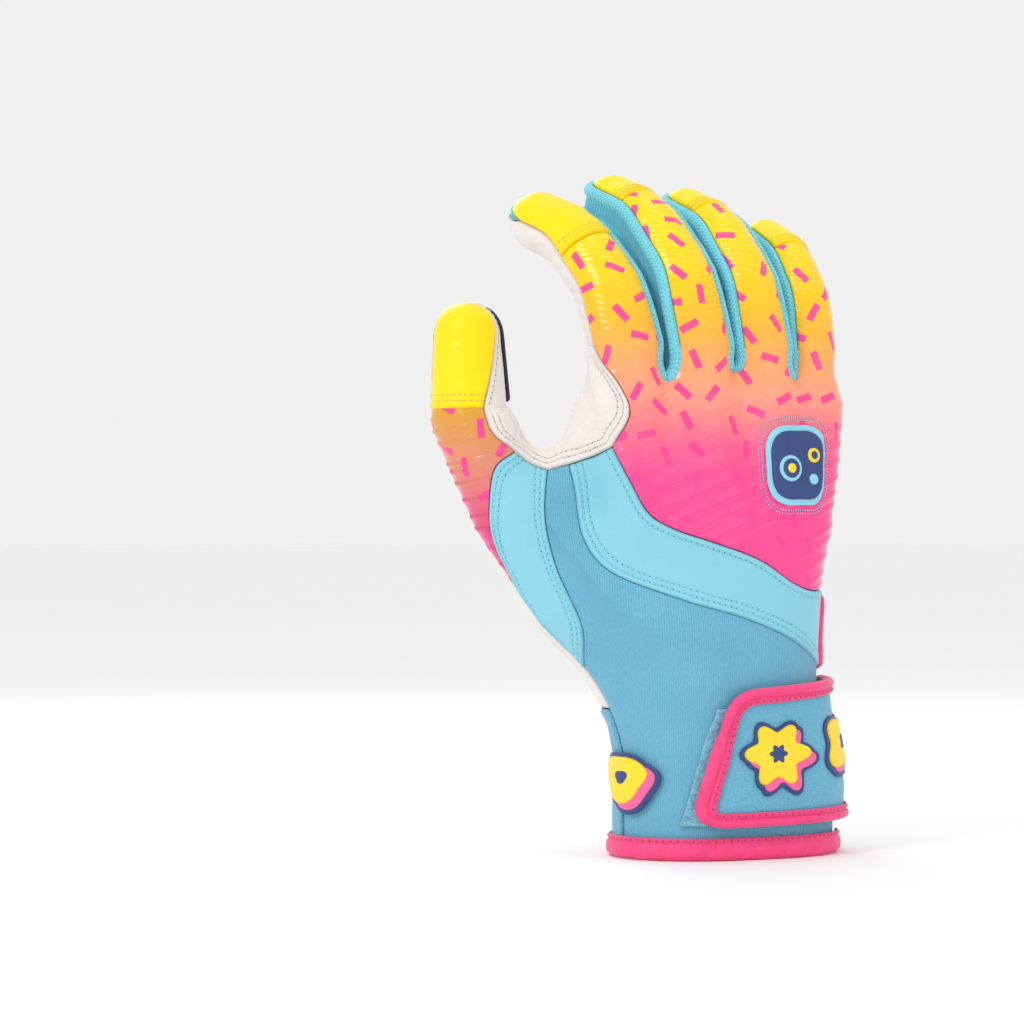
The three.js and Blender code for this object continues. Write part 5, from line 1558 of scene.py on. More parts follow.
HOLE_SIDES = 12
PUNCH_RADIUS = 0.62
PUNCH_RINGS = ((0.98, -0.3), (1.0, 0.16), (0.8, 0.19), (0.55, 0.09), (0.2, 0.06))
FINGER_HOLES = ((0.42, 0.36), (0.52, 0.6), (0.15, 0.6))


def punch(piece, patch, surface, where):
    """Punched holes: small dished discs set in the leather at shares of the patch, near black as painted shade of the
    holes' inside.
    """
    rows, columns = patch.shape
    c, s = circle(HOLE_SIDES)
    for v, u in where:
        i, j = int(round(v * (rows - 1))), int(round(u * (columns - 1)))
        level, up = axes(patch.normal[i, j], (0.3, 0.2, 1.0))
        spin = (level * c + up * s) * PUNCH_RADIUS
        piece.sweep(np.stack([surface[i, j] + spin * r + patch.normal[i, j] * h for r, h in PUNCH_RINGS]),
                    "punched_hole")


def make_finger(name):
    """One finger: each height is a rolled edge plus ridges, grooves or creases by its own pattern."""
    bend = finger_bend(name)
    back, front, cap, wall = print_patches()[name].values()
    high = flat_edge(back.near("left", "right")) + rolled(back.top, 1.4, 0.6) + tuck(back.bottom) \
        + mm("ridge") * finger_ridges(back) * smooth(back.top / 3)
    cloth(name + "_back", "pink_gel", back, high, "printed_gel", back.near("left", "right", "top"),
          fleck=flecks().read(back), bend=bend)

    edge = cap.near()
    rows = {"bottom": ((2.2, 0.35), (4.2, 0.18))}
    high = 0.35 + rolled(edge, 1.3, 1.2) + puffed(cap, rows, 0.0) + 0.25 * (noise(cap.base, 8.0, 6) - 0.5) \
        - 0.3 * creases(cap.base * (1, 1, 1.6), 9.0, 1) * smooth(edge / 3)
    cloth(name + "_cap", "yellow_gel", cap, high, "yellow_leather", rows=rows, thread="gold", trim=1.2,
          body=name + "_finger")

    edge = front.near("left", "right", "top")
    away = front.bottom
    high = rolled(edge) + tuck(away) + fold_marks(front, name) + 0.35 * (noise(front.base, 9.0, 3) - 0.5) \
        * smooth(away / 6) - 0.22 * creases(front.base * (1, 1, 2.0), 6.0, 2) * smooth(away / 5)
    cloth(name + "_front", "palm_leather", front, high, "white_leather", edge, holes=FINGER_HOLES, trim=2.0,
          rows={"right": ((2.2,),)} if name == "index" else {}, bend=bend)

    edge = wall.near("left", "right")
    high = lips(edge, (wall.left + wall.right) / 2)
    closed = {"index": "top", "pinky": "bottom"}.get(name)
    for side in ("bottom", "top"):
        run = getattr(wall, side)
        high = high + (rolled(run, 2.0, 0.9) if side == closed else tuck(run))
    cloth(name + "_mesh_wall", "cyan_mesh", wall, high, "cyan_mesh", edge, low=-MESH_SKIN, bend=bend)


def lips(edge, half):
    """Two rolled lips along the mesh and the sunk mesh between, from the distances to its seams and its middle."""
    width = np.maximum(np.minimum(mm("lip"), half * 0.9), 0.3)
    t = np.clip(edge / width, 0, 1)
    lip = 1.5 * np.sqrt(np.maximum(1 - (2 * t - 1) ** 2, 0)) - 0.2 * (1 - t)
    return (lip - 0.9 * smooth((edge - width * 0.9) / 1.6)) * smooth((half - 0.6) / 2.4)


class Operator(bpy.types.Operator):
    """One step of the glove"""
    bl_options = {"REGISTER"}


# The seam lines, worked out once
seams = cache(Seams)


@cache
def print_patches():
    """Patches of all that carries the print, made once so that its flecks run over the seams."""
    s = seams()
    fine = 0.5 * 1
    patches = {}
    for name in NAMES:
        cap_start = LINES[name].length * FINGERS[name]["cap"]
        patches[name] = {
            "back": face_patch(name, 0, -TUCK, cap_start - SEAM_GAP / 2, False, along=fine * 0.8),
            "front": face_patch(name, 1, -TUCK, LINES[name].length, True),
            "cap": face_patch(name, 0, cap_start + SEAM_GAP / 2, LINES[name].length, True),
            "wall": wall_patch(name),
        }
    patches["hand"] = panel(s.band_top, s.fold_back, s.gusset_back["index"],
                            arc(s.ulnar_back, BAND_HEAD, FOLD_HEIGHT, 7), 160, 28, open_top=True, along=fine).relax()
    patches["thumb"] = panel(s.strip_top, thumb_edge(s.thumb_outer_turn, s.thumb_back_turn, 6),
                             arc(s.radial, STRIP_LEAVE, THUMB_FOLD, 8), s.gusset_back["thumb"][::-1], 20, 24,
                             open_top=True, along=fine)
    return patches


@cache
def flecks():
    """The flecks, drawn once."""
    patches = print_patches()
    return Flecks([patches[name]["back"] for name in NAMES] + [patches["hand"], patches["thumb"]],
                  np.random.default_rng(settings().seed))


class GLOVE_OT_fingers(Operator):
    """Fingers: printed back, cap, leather front and mesh wall of each"""
    bl_idname = "glove.fingers"
    bl_label = "Fingers"

    def execute(self, context):
        """Each finger in turn."""
        for name in NAMES:
            make_finger(name)
        return {"FINISHED"}


SEAM_ALLOWANCE = 0.9


class GLOVE_OT_webs(Operator):
    """Mesh webs in the three crotches, with their lips"""
    bl_idname = "glove.webs"
    bl_label = "Finger webs"

    def execute(self, context):
        """Lips along both seams; both ends are grown under their neighbours."""
        for (a, b), (back, front) in seams().webs.items():
            left = seam([back[0], base_point(a, 90.0), front[0]], 2)
            right = seam([back[-1], base_point(b, -90.0), front[-1]], 2)
            patch = panel(back, front, left, right, 32, 16, facing=(0, 0, WEB_LIFT), crease=True)
            edge = patch.near("bottom", "top")
            high = lips(edge, (patch.bottom + patch.top) / 2)
            for end, inner in ((0, 1), (-1, -2)):
                patch.base[end] += unit(patch.base[end] - patch.base[inner]) * SEAM_ALLOWANCE
                high[end] -= 0.3
            cloth(f"{a}_{b}_web", "cyan_mesh", patch, high, "cyan_mesh", edge, low=-MESH_SKIN)
        return {"FINISHED"}


PAD_GROWN = (-20, 18, -11)
CAP_GROWN = (6, 0, 0)
PAD_PITCH = 2.6
PAD_REACH = 9.1


class GLOVE_OT_thumb(Operator):
    """Thumb: printed back, cap, leather front and inner wall, and the suede grip pad"""
    bl_idname = "glove.thumb"
    bl_label = "Thumb"

    def execute(self, context):
        """Heights are rolled edges plus grooves, less creases; the pad has rings by a cosine."""
        patch = print_patches()["thumb"]
        edge = patch.near("bottom", "right")
        high = flat_edge(edge) + mm("ridge") * hand_ridges(patch.base) * smooth(edge / 2)
        cloth("thumb_back", "pink_gel", patch, high, "thumb_gel", edge, fleck=flecks().read(patch))

        bend = finger_bend("thumb")
        long = LINES["thumb"].length
        cap = face_patch("thumb", 0, -0.3, long, True, CAP_GROWN)
        edge = cap.near("left", "right", "top")
        rows = {"bottom": ((2.6, 0.5), (4.8, 0))}
        high = 0.3 + rolled(edge, 1.3, 1.2) + rolled(cap.bottom, 1.0, 0.4) + puffed(cap, rows, 0.0) \
            - 0.22 * creases(cap.base, 9.0, 3) * smooth(edge / 3) + 0.3 * (noise(cap.base, 9.0, 6) - 0.5)
        cloth("thumb_cap", "yellow_gel", cap, high, "yellow_leather", rows=rows, thread="gold", trim=1.2,
              bend=bend)

        front = face_patch("thumb", 1, -TUCK, long, True)
        edge = front.near("left", "right", "top")
        high = rolled(edge) + tuck(front.bottom) - 0.25 * creases(front.base, 7.0, 4) * smooth(front.bottom / 4)
        cloth("thumb_front", "palm_leather", front, high, "white_leather", edge, bend=bend)

        wall = wall_patch("thumb")
        edge = wall.near("left", "right", "top")
        high = rolled(edge) + tuck(wall.bottom) \
            + 0.4 * (noise(wall.base * (1, 1, 1.5), 6.0, 2) - 0.5) * smooth(edge / 2)
        cloth("thumb_inner_wall", "palm_leather", wall, high, "white_leather", edge, rows={"left": ((2.0,),)},
              trim=2.0, bend=bend)

        pad = face_patch("thumb", 1, 2.5, long, True, PAD_GROWN)
        edge = pad.near()
        middle = pad.base[int(pad.shape[0] * 0.42), pad.shape[1] // 2]
        away = norm((pad.base - middle) * (1, 1, 0.8))
        rings = np.cos(2 * np.pi * away / PAD_PITCH) * (away < PAD_REACH) * smooth(PAD_REACH - away)
        high = 1.5 + rolled(edge, 1.0, 0.95) + 0.4 * rings + 0.25 * (noise(pad.base, 5.0, 8) - 0.5)
        cloth("thumb_grip_pad", "black_suede", pad, high, "black_suede", low=0.35,
              rows={"bottom": ((2.0,), (4.0,))}, bend=bend, fill=0.3)
        return {"FINISHED"}


class GLOVE_OT_back(Operator):
    """Back of the hand: print panel, chevron band, side strip, stretch panel and thumb gusset"""
    bl_idname = "glove.back"
    bl_label = "Back of the hand"

    def execute(self, context):
        """Heights are rolled edges plus ridges, grooves, folds by sines, and soft noise."""
        s = seams()
        patch = print_patches()["hand"]
        web_distance = np.minimum.reduce([patch.to(back) for back, _ in s.webs.values()])
        edge = np.minimum(patch.near("bottom", "left", "right"), web_distance)
        high = flat_edge(edge) + mm("ridge") * hand_ridges(patch.base) * smooth(edge / 2)
        cloth("back_print_panel", "pink_gel", patch, high, "printed_gel", edge, fleck=flecks().read(patch))

        band = panel(s.band_low, s.band_top, s.gusset_back["band"], arc(s.ulnar_back, BAND_FOOT, BAND_HEAD, 4),
                     72, 12)
        edge = band.near()
        rows = {"bottom": ((2.4, 0.25), (4.6, 0.2)), "top": ((2.6, 0.25),)}
        high = 0.45 + rolled(edge, 1.2, 1.25) + puffed(band, rows) \
            + 0.25 * (noise(band.base, 14.0, 1) - 0.5) * smooth(edge / 4)
        cloth("chevron_band", "light_blue_leather", band, high, "blue_leather", rows=rows, thread="blue")

        strip = panel(arc(s.radial, STRIP_HEIGHT, STRIP_FOOT, 2), s.gusset_back["strip"], s.strip_left,
                      s.strip_right, 8, 40)
        rows = dict.fromkeys(("left", "right"), ((2.2, 0.25), (4.2, 0.2)))
        high = 0.45 + rolled(strip.near(), 1.2, 1.25) + puffed(strip, rows)
        cloth("thumb_side_strip", "light_blue_leather", strip, high, "blue_leather", rows=rows, thread="blue")

        t = np.linspace(0, 1, 12 * FINE + 1)
        hem = on_face(wrapped(-RADIAL_TURN, VENT_BACK_TURN, t, HEM), HEM, -1)
        wrist = panel(hem, s.gusset_back["stretch"], join(arc(s.radial, HEM, STRIP_FOOT, 14), s.strip_right),
                      join(arc(lambda z: around(VENT_BACK_TURN, z), HEM, BAND_FOOT, 6), s.band_low[::-1]), 48, 96)
        edge = wrist.near()
        z = wrist.base[..., 2]
        folds = np.sin(z / 4.2 + 2.2 * noise(wrist.base, 26.0, 1)) * np.exp(-((z - 74) / 13) ** 2)
        high = flat_edge(edge) - 0.1 + 0.28 * folds * smooth(edge / 5) \
            + 0.8 * (noise(wrist.base, 17.0, 2) - 0.5) * smooth(edge / 6)
        cloth("stretch_wrist", "blue_stretch", wrist, high, "stretch_knit", flow=round_wrist(wrist.base, -1))

        gusset = ribbon([s.gusset, s.ridge, s.gusset_front], 16)
        edge = gusset.near("bottom", "top")
        radiating = np.sin(gusset.left / 3.2 + 3 * noise(gusset.base, 12.0, 5)) * smooth(edge / 7)
        rows = {"bottom": ((2.5, 0.4, 0.6, 0.35), (4.6, 0.25, 0.6, 0.3)), "top": ((2.2, 0),)}
        high = 0.5 + rolled(edge, 1.3, 1.3) + puffed(gusset, rows) + 0.55 * radiating \
            - 0.45 * creases(gusset.base, 6.5, 3) * smooth(edge / 4) \
            - 0.5 * (1 - smooth(gusset.near("left", "right") / 4))
        cloth("crotch_gusset", "palm_leather", gusset, high, "white_leather", edge, rows=rows, trim=3.0)
        return {"FINISHED"}


OVERLAY_LOW = ((-50, 136), (-44, 129), (-37, 124), (-19, 121), (-8, 114), (-2, 100), (3, 88), (10, 79), (17, 73),
               (25, 70), (28, 71))
OVERLAY_TOP = ((-44, 155), (-21, 159), (1, 162), (12, 161), (35, 157), (58, 153))
CHANNELS = (((12, 161), (62, 129)), ((-25, 158), (27, 124)), ((-46, 148), (-12, 124)))
CHANNEL_HALF = 1.3
PALM_HOLES = ((0.86, 0.82), (0.9, 0.66), (0.84, 0.6), (0.88, 0.74), (0.9, 0.9))


def to_segment(x, z, a, b):
    """Signed distance from a straight line on the unrolled face, and the share run along it."""
    a, b = np.array(a, float), np.array(b, float)
    d = b - a
    length = np.hypot(*d)
    rx, rz = x - a[0], z - a[1]
    return (rx * d[1] - rz * d[0]) / length, (rx * d[0] + rz * d[1]) / length ** 2


class GLOVE_OT_palm(Operator):
    """Palm leather and the quilted second layer over it"""
    bl_idname = "glove.palm"
    bl_label = "Palm"

    def execute(self, context):
        """The leather, then the layer over it."""
        self.leather()
        self.overlay()
        return {"FINISHED"}

    @staticmethod
    def leather():
        """Height is rolled at edges and seams, plus noise and folds by sines, less creases."""
        s = seams()
        t = np.linspace(0, 1, 20 * FINE + 1)
        heel = on_face(wrapped(180 + RADIAL_TURN, 180 - VENT_PALM_TURN, t, HEEL), HEEL, 1)
        palm = panel(heel, s.palm_top, arc(s.radial, HEEL, THUMB_FOLD, 10), arc(s.ulnar_palm, HEEL, FOLD_HEIGHT, 14),
                     200, 32, facing=(0, 1, 0), open_top=True, along=0.75).relax(12)
        lines = [front for _, front in s.webs.values()] + [s.gusset_front]
        seam_distance = np.minimum.reduce([palm.to(line) for line in lines])
        free = palm.near("bottom", "left", "right")
        edge = np.minimum(free, seam_distance)
        p = palm.base
        x, z = p[..., 0], p[..., 2]
        thumb_folds = np.sin((x + 0.7 * z) / 2.6 + 3 * noise(p, 15.0, 7)) \
            * np.exp(-(((x + 52) / 16) ** 2 + ((z - 128) / 16) ** 2))
        root_folds = np.sin(z / 1.9 + 3 * noise(p, 9.0, 9)) * smooth((z - 160) / 5)
        high = np.minimum(rolled(free), flat_edge(seam_distance)) + smooth(edge / 5) * (
            0.9 * (noise(p, 24.0, 1) - 0.5) - 0.3 * creases(p * (1, 1, 1.4), 13.0, 2)
            - 0.22 * creases(p, 6.0, 4) + 0.45 * thumb_folds + 0.25 * root_folds)
        cloth("palm_leather", "palm_leather", palm, high, "white_leather", edge, holes=PALM_HOLES)

    @staticmethod
    def overlay():
        """The second layer, lower along its stitched channels and puffed between them."""
        low, top = (spline([(x, z, 0) for x, z in line], 97)[:, :2] for line in (OVERLAY_LOW, OVERLAY_TOP))
        u, v = square(36, 96)
        x = lerp(low[:, 0], top[:, 0], v) + u ** 4 * 9 * v * (1 - v)
        z = lerp(low[:, 1], top[:, 1], v)
        patch = layer(x, z, 1)
        x, z = np.moveaxis(refined(np.stack([x, z], -1), *patch.shape), -1, 0)
        edge = patch.near()
        sunk, cells, channels = 0, 1, []
        for a, b in CHANNELS:
            across, share = to_segment(x, z, a, b)
            inside = smooth((share + 0.02) / 0.04) * smooth((1.02 - share) / 0.04)
            away = np.abs(across)
            sunk = sunk - 0.55 * np.exp(-((away - CHANNEL_HALF) / 0.7) ** 2) * inside
            cells = cells * (1 - np.exp(-(away / 4.5) ** 2) * inside)
            channels += [(across + CHANNEL_HALF, share), (across - CHANNEL_HALF, share)]
        p = patch.base
        wrinkle = 0.5 * (noise(p, 10.0, 3) - 0.5) - 0.35 * creases(p * (1.4, 1, 0.8), 8.0, 5)
        rows = dict.fromkeys(("bottom", "top"), ((2.3, 0.2, 0.6, 0.3), (4.5, 0, 0.6, 0.3)))
        high = 1.7 + rolled(edge, 1.1, 0.95) + sunk + 0.75 * cells * smooth(edge / 8) \
            + wrinkle * smooth(edge / 5) * cells + puffed(patch, rows)
        cloth("palm_overlay", "palm_leather", patch, high, "white_leather", low=0.55, rows=rows, trim=2.0,
              extra=channels, fill=0.4)


def level_line(patch, surface, value, share):
    """The line of a patch where a value passes zero down its columns, within the shares 0 to 1."""
    sign = value > 0
    crossing = sign[1:] != sign[:-1]
    j = np.flatnonzero(crossing.any(0))
    i = crossing.argmax(0)[j]
    a, b = value[i, j], value[i + 1, j]
    points = lerp(surface[i, j], surface[i + 1, j], (a / (a - b))[:, None])
    inside = (share[i, j] > 0.01) & (share[i, j] < 0.99) & (patch.near()[i, j] > 2)
    return points[inside], patch.normal[i, j][inside]


HEM_TOP = 7.8


def lofted(path_across, face, section):
    """Rings of a section of (level, z) carried round the wrist; levels are taken along the surface normal."""
    levels, heights = section.T
    across = path_across[:, None] + 0 * heights
    base = on_face(across, np.maximum(heights, 0.0), face)
    wave = HEM_WAVE * (noise(base, 12.0, 3) - 0.5)
    points = base + unit(slope(base, hand)) * (levels + wave * np.sign(levels))[..., None]
    points[..., 2] = heights
    return points


HEM_ROUNDING = 2.0
HEM_WAVE = 0.5


def hem_section():
    """The bound hem's section, level and z: a plump tube round the cloth's edge under a flat stitched flange."""
    a = np.linspace(0, np.pi, 15)
    lower = np.stack([2.95 * np.cos(a), 2.6 - 2.6 * np.sin(a)], 1)
    outer = np.array([(1.95, HEM_TOP), (2.25, 7.4), (2.3, 6.9), (2.0, 6.2), (2.45, 5.6), (2.85, 4.7), (3.0, 3.6)])
    inner = np.array([(-1.75, HEM_TOP), (-1.75, 3.2), (1.5, 3.2), (1.5, HEM_TOP)])
    return np.vstack([outer, lower, outer[::-1] * (-1, 1), inner])


class GLOVE_OT_cuff(Operator):
    """Cuff: palm-side band, bound hem and vent, and the piping at the heel of the palm"""
    bl_idname = "glove.cuff"
    bl_label = "Cuff"

    def execute(self, context):
        """The band drapes by noise and a sine; the others are sections carried along lines."""
        u, v = square(16, 60)
        z = lerp(HEM, HEEL - 0.15, v)
        band = layer(wrapped(180 + RADIAL_TURN, 90, u, z) + 0.3 * (1 - u), z, 1)
        edge = band.near()
        p = band.base
        drape = 0.9 * (noise(p * (1, 1, 0.5), 18.0, 5) - 0.5) + 0.35 * np.sin(
            p[..., 2] / 3.1 + 4 * noise(p, 20.0, 6)) * np.exp(-((p[..., 2] - 46) / 6) ** 2)
        high = 1.0 + rolled(edge, 1.1, 1.0) + drape * smooth(edge / 5)
        cloth("cuff_band", "blue_stretch", band, high, "cuff_knit", low=-0.6, flow=round_wrist(p, 1))

        piece = Piece("hem_binding")
        section = hem_section()
        t = np.linspace(0, 1, 110)
        back = lofted(wrapped(-RADIAL_TURN, VENT_BACK_TURN - 1, 1 - t, HEM), -1, section)
        rings = np.concatenate([back[:-1], lofted(wrapped(180 + RADIAL_TURN, 89, t, HEM), 1, section)])
        middle = rings.mean(1, keepdims=True)
        run = np.cumsum(norm(np.gradient(middle[:, 0], axis=0)))
        full = np.sqrt(smooth(0.2 + np.minimum(run, run[-1] - run) / HEM_ROUNDING))[:, None, None]
        rings = middle + (rings - middle) * full
        piece.sweep(rings, "pink_tape")
        across = unit((rings[:, 2] - rings[:, len(section) // 2]) * (1, 1, 0))
        stitch(piece, trimmed(rings[:, 2], across, 3.0), "pink", 2.6, 0.27)
        piece.write("pink_binding")

        path = seams().vent_path()
        piece = Piece("vent_binding")
        bar(piece, path, 2.5, 0.25, 2.6, "pink_tape", 2.5)
        stitch(piece, beside(path, 0.9, 2.55, 3.0), "pink", 3.0, 0.24)
        piece.write("pink_binding")

        across = wrapped(150 + RADIAL_TURN, 176 - VENT_PALM_TURN, t, HEEL)
        path = on_face(across, HEEL + 0.3, 1)
        piece = Piece("heel_piping")
        bar(piece, path, 2.1, 0.8, 2.1, "white_leather", 12.0)
        for offset in (-0.9, 0.9):
            stitch(piece, beside(path, offset, 2.0, 9.0), "blue")
        piece.write("palm_leather")
        return {"FINISHED"}


def rails(path):
    """A line's normals on the form, and the directions beside it."""
    normal = unit(slope(path, hand))
    return normal, unit(np.cross(np.gradient(path, axis=0), normal))


def bar(piece, path, half_width, low, high, finish, thin):
    """A plump strip along a line: half an ellipse above its foot, thinned over a length at both ends."""
    normal, side = rails(path)
    a = np.linspace(0, np.pi, 13)
    section = np.vstack([np.stack([np.cos(a), np.sin(a) ** 0.8], 1), [(-0.9, -0.12), (0, -0.14), (0.9, -0.12)]])
    x, y = section.T
    run = run_along(path)
    full = np.sqrt(smooth(0.06 + np.minimum(run, run[-1] - run) / thin))[:, None]
    foot = settle(path[:, None] + side[:, None] * (x * half_width * full)[..., None], hand, 3)
    rise = low * full + np.maximum(y, 0) * (high - low) * full + np.minimum(y, 0)
    piece.sweep(foot + normal[:, None] * rise[..., None], finish)


def beside(path, offset, level, trim):
    """A line beside another at a level over the form, with its normals, short of both ends."""
    normal, side = rails(path)
    return trimmed(settle(path + side * offset, hand, 3) + normal * level, normal, trim)


STRAP_TURN = 86.0
STRAP_FREE = ((-22, 13), (-12, 57))
STRAP_ROOT = (14.0, 60.0)
STRAP_LOW = 2.6
STRAP_HIGH = 4.9


def strap_frame():
    """Corners of the strap on the unrolled back: free low, free high, root low and root high."""
    turned = SIDE_ARC * np.radians(STRAP_TURN)
    root = [(spine(RIGHT_SPINE, z)[0] + turned, z) for z in STRAP_ROOT]
    return np.array([*STRAP_FREE, *root], float)


def strap_outline(count):
    """The strap's edge from its root, round both free corners and back, at even lengths."""
    low, high, root_low, root_high = strap_frame()
    radius = mm("strap_corner")
    t = np.linspace(0, 1, 12)[:, None]
    points = [root_low]
    for corner, before, after in ((low, root_low, high), (high, low, root_high)):
        a, b = (corner + unit(other - corner) * radius for other in (before, after))
        points.extend(a * (1 - t) ** 2 + 2 * corner * t * (1 - t) + b * t ** 2)
    return spaced(np.array([*points, root_high]), count)


STRAP_REACH = 60.0


def strap_grid(rows, columns, inset):
    """Places inside the strap's outline: straight between its edges, squeezed at the rounded corners."""
    low, high, root_low, root_high = strap_frame()
    u, v = square(rows, columns)
    u = inset / STRAP_REACH + u * (1 - inset / STRAP_REACH)
    bottom, top = lerp(low, root_low, u[..., None]), lerp(high, root_high, u[..., None])
    radius = mm("strap_corner") * 0.75
    near = np.maximum(radius - u * norm(root_low - low), 0)
    squeeze = radius - np.sqrt(np.maximum(radius ** 2 - near ** 2, 0)) + inset
    share = squeeze / norm(top - bottom)
    return lerp(bottom, top, (share + v * (1 - 2 * share))[..., None])


def strap_section():
    """The binding's section, out and level: a stitched flange, a plump tube round the edge and an inner lip."""
    a = np.radians(np.linspace(152, -152, 25))
    middle, half = (STRAP_LOW + STRAP_HIGH) / 2 + 0.2, (STRAP_HIGH - STRAP_LOW) / 2 + 0.85
    flange = np.array([(-3.3, 0.05), (-3.1, 0.4), (-2.3, 0.5), (-1.6, 0.3)]) + (0, STRAP_HIGH)
    tube_part = np.stack([0.15 + 1.65 * np.cos(a), middle + half * np.sin(a)], 1)
    inside = np.array([(-1.6, -0.35), (-3.1, -0.4), (-3.3, -0.15), (0.4, -0.05)]) + (0, STRAP_LOW)
    return np.vstack([flange, tube_part, inside, (0.4, STRAP_HIGH - 0.05)])


class GLOVE_OT_strap(Operator):
    """Wrist strap: panel, bound edge, hook patch, and the loop patch on the cuff"""
    bl_idname = "glove.strap"
    bl_label = "Wrist strap"

    def execute(self, context):
        """The panel rises to its middle; the binding is a section carried round its outline."""
        grid = strap_grid(16, 40, 0.8)
        patch = layer(grid[..., 0], grid[..., 1], -1)
        edge = patch.near("left", "bottom", "top")
        high = STRAP_HIGH - 0.9 + 0.55 * smooth(edge / 9) + 0.5 * (noise(patch.base, 16.0, 4) - 0.5) \
            + rolled(patch.right, 1.0, 0.8)
        cloth("strap_panel", "blue_stretch", patch, high, "neoprene", edge, low=STRAP_LOW, body="wrist_strap",
              fill=0.5)

        outline = strap_outline(150)
        tangent = unit(np.gradient(outline, axis=0))
        away = np.stack([-tangent[:, 1], tangent[:, 0]], 1)
        out, level = strap_section().T
        flat = outline[:, None] + away[:, None] * out[:, None]
        base = on_face(flat[..., 0], flat[..., 1], -1)
        normal = unit(slope(base, hand))
        rings = base + normal * level[:, None]
        piece = Piece("strap_binding")
        piece.sweep(rings, "pink_tape")
        stitch(piece, (rings[:, 2], normal[:, 2]), "pink", 2.6, 0.27)
        piece.write("pink_binding", "wrist_strap")

        piece = Piece("loop_patch")
        patch = self.patch((12, 52), (-26, -17), (16, 16), 0.45)
        p, edge = patch.base, patch.near()
        high = 1.1 + 0.45 * noise(p, 0.9, 1) + 0.3 * noise(p, 2.0, 2) + rolled(edge, 0.8, 0.5)
        surface = piece.shell(patch, high, 0.35, "loop_pile", edge)
        self.loops(piece, patch, surface)
        piece.write("hook_and_loop")

        piece = Piece("hook_patch")
        patch = self.patch((19, 51), (-15, -9), (18, 18), 0.8)
        edge = patch.near()
        piece.shell(patch, 2.45 + rolled(edge, 0.5, 0.3), 1.75 + 0.2 * noise(patch.base, 1.2, 1), "loop_pile", edge)
        piece.write("hook_and_loop", "wrist_strap")
        return {"FINISHED"}

    @staticmethod
    def patch(heights, left, right, step):
        """A patch of the back between two slanted ends, each given low and high."""
        u, v = square(12, 24)
        return layer(lerp(lerp(*left, v), lerp(*right, v), u), lerp(*heights, v), -1, across=step, along=step)

    @staticmethod
    def loops(piece, patch, surface):
        """Fine loops standing on the pile near its free edge: half rings of a thin yarn."""
        draw = np.random.default_rng(settings().seed + 1)
        near = np.argwhere(patch.left < 7.0)
        i, j = near[draw.permutation(len(near))[:420]].T
        centre, normal = surface[i, j], patch.normal[i, j]
        turn = draw.random(len(i))[:, None] * 2 * np.pi
        level, up = axes(normal, (0, 0, 1.0))
        way = level * np.cos(turn) + up * np.sin(turn)
        size = draw.uniform(0.25, 0.5, len(i))[:, None, None]
        a = np.linspace(0, np.pi, 5)[:, None]
        rise = way[:, None] * (np.cos(a) * size) + normal[:, None] * (np.sin(a) * size * 1.3 - 0.1)
        side = np.cross(way, normal)[:, None, None]
        c, s = circle(3)
        rings = (centre[:, None] + rise)[:, :, None] + 0.07 * (unit(rise)[:, :, None] * c + side * s)
        piece.add(*copies(rings.reshape(len(i), -1, 3), tube(len(a), 3)), "loop_pile")


# Moulded shapes: place across and up, radius, lobes, depth and turn of each
CUFF_SHAPES = {
    "cuff_motif_star": (9.5, 27, 10.5, 6, 0.2, 0),
    "cuff_motif_clover": (-17, 28, 10.5, 4, 0.18, 45),
    "cuff_motif_shield": (-48, 28, 10, 3, 0.12, 30),
    "cuff_motif_burst": (32, 30, 9, 8, 0.12, 0),
}
STRAP_SHAPES = {
    "strap_motif_star": (3, 36, 12, 6, 0.2, 0),
    "strap_motif_clover": (31, 38, 11, 4, 0.18, 45),
}


def disc(centre, face, radius, offset=(0, 0), squash=1.0):
    """Places of a round plate: rays from its middle, as lengths and turns; radius is a function of the turn."""
    turn = np.linspace(0, 2 * np.pi, 97)[:-1]
    share = np.concatenate([np.linspace(0, 0.8, 5)[1:], [0.87, 0.92, 0.96, 0.985, 1.0]])
    r = share[:, None] * radius(turn)
    base = on_face(centre[0] + offset[0] + r * np.cos(turn) * squash, centre[1] + offset[1] + r * np.sin(turn), face)
    return share, base, unit(slope(base, hand))


def plate(piece, centre, face, radius, low, high, finish, offset=(0, 0), squash=1.0, edge=1.0):
    """A closed round plate with a rounded rim: rings out from the middle, over the edge and back below."""
    share, base, normal = disc(centre, face, radius, offset, squash)
    inward = (1 - share)[:, None] * norm(base[-1] - base.mean((0, 1)))
    top = high + rolled(inward, edge, min(edge, (high - low) * 0.8))
    upper = base + normal * top[..., None]
    up = normal[0].mean(0)
    points = np.vstack([upper.reshape(-1, 3), base[-1] + normal[-1] * low,
                        upper[0].mean(0) + up * 0.02, base[0].mean(0) + unit(up) * low])
    sides = base.shape[1]
    n = len(points) - 2
    j = np.arange(sides)
    after = (j + 1) % sides
    fans = np.concatenate([np.stack([0 * j + n, j, after], 1),
                           np.stack([0 * j + n + 1, n - sides + after, n - sides + j], 1)])
    piece.add(points, outward(points, [spread(len(share) + 1, sides), fans]), finish)


def lobed(radius, lobes, depth, turn):
    """A radius by its turn: a circle with a cosine of so many lobes."""
    return lambda a: radius * (1 + depth * np.cos(lobes * (a - np.radians(turn))))


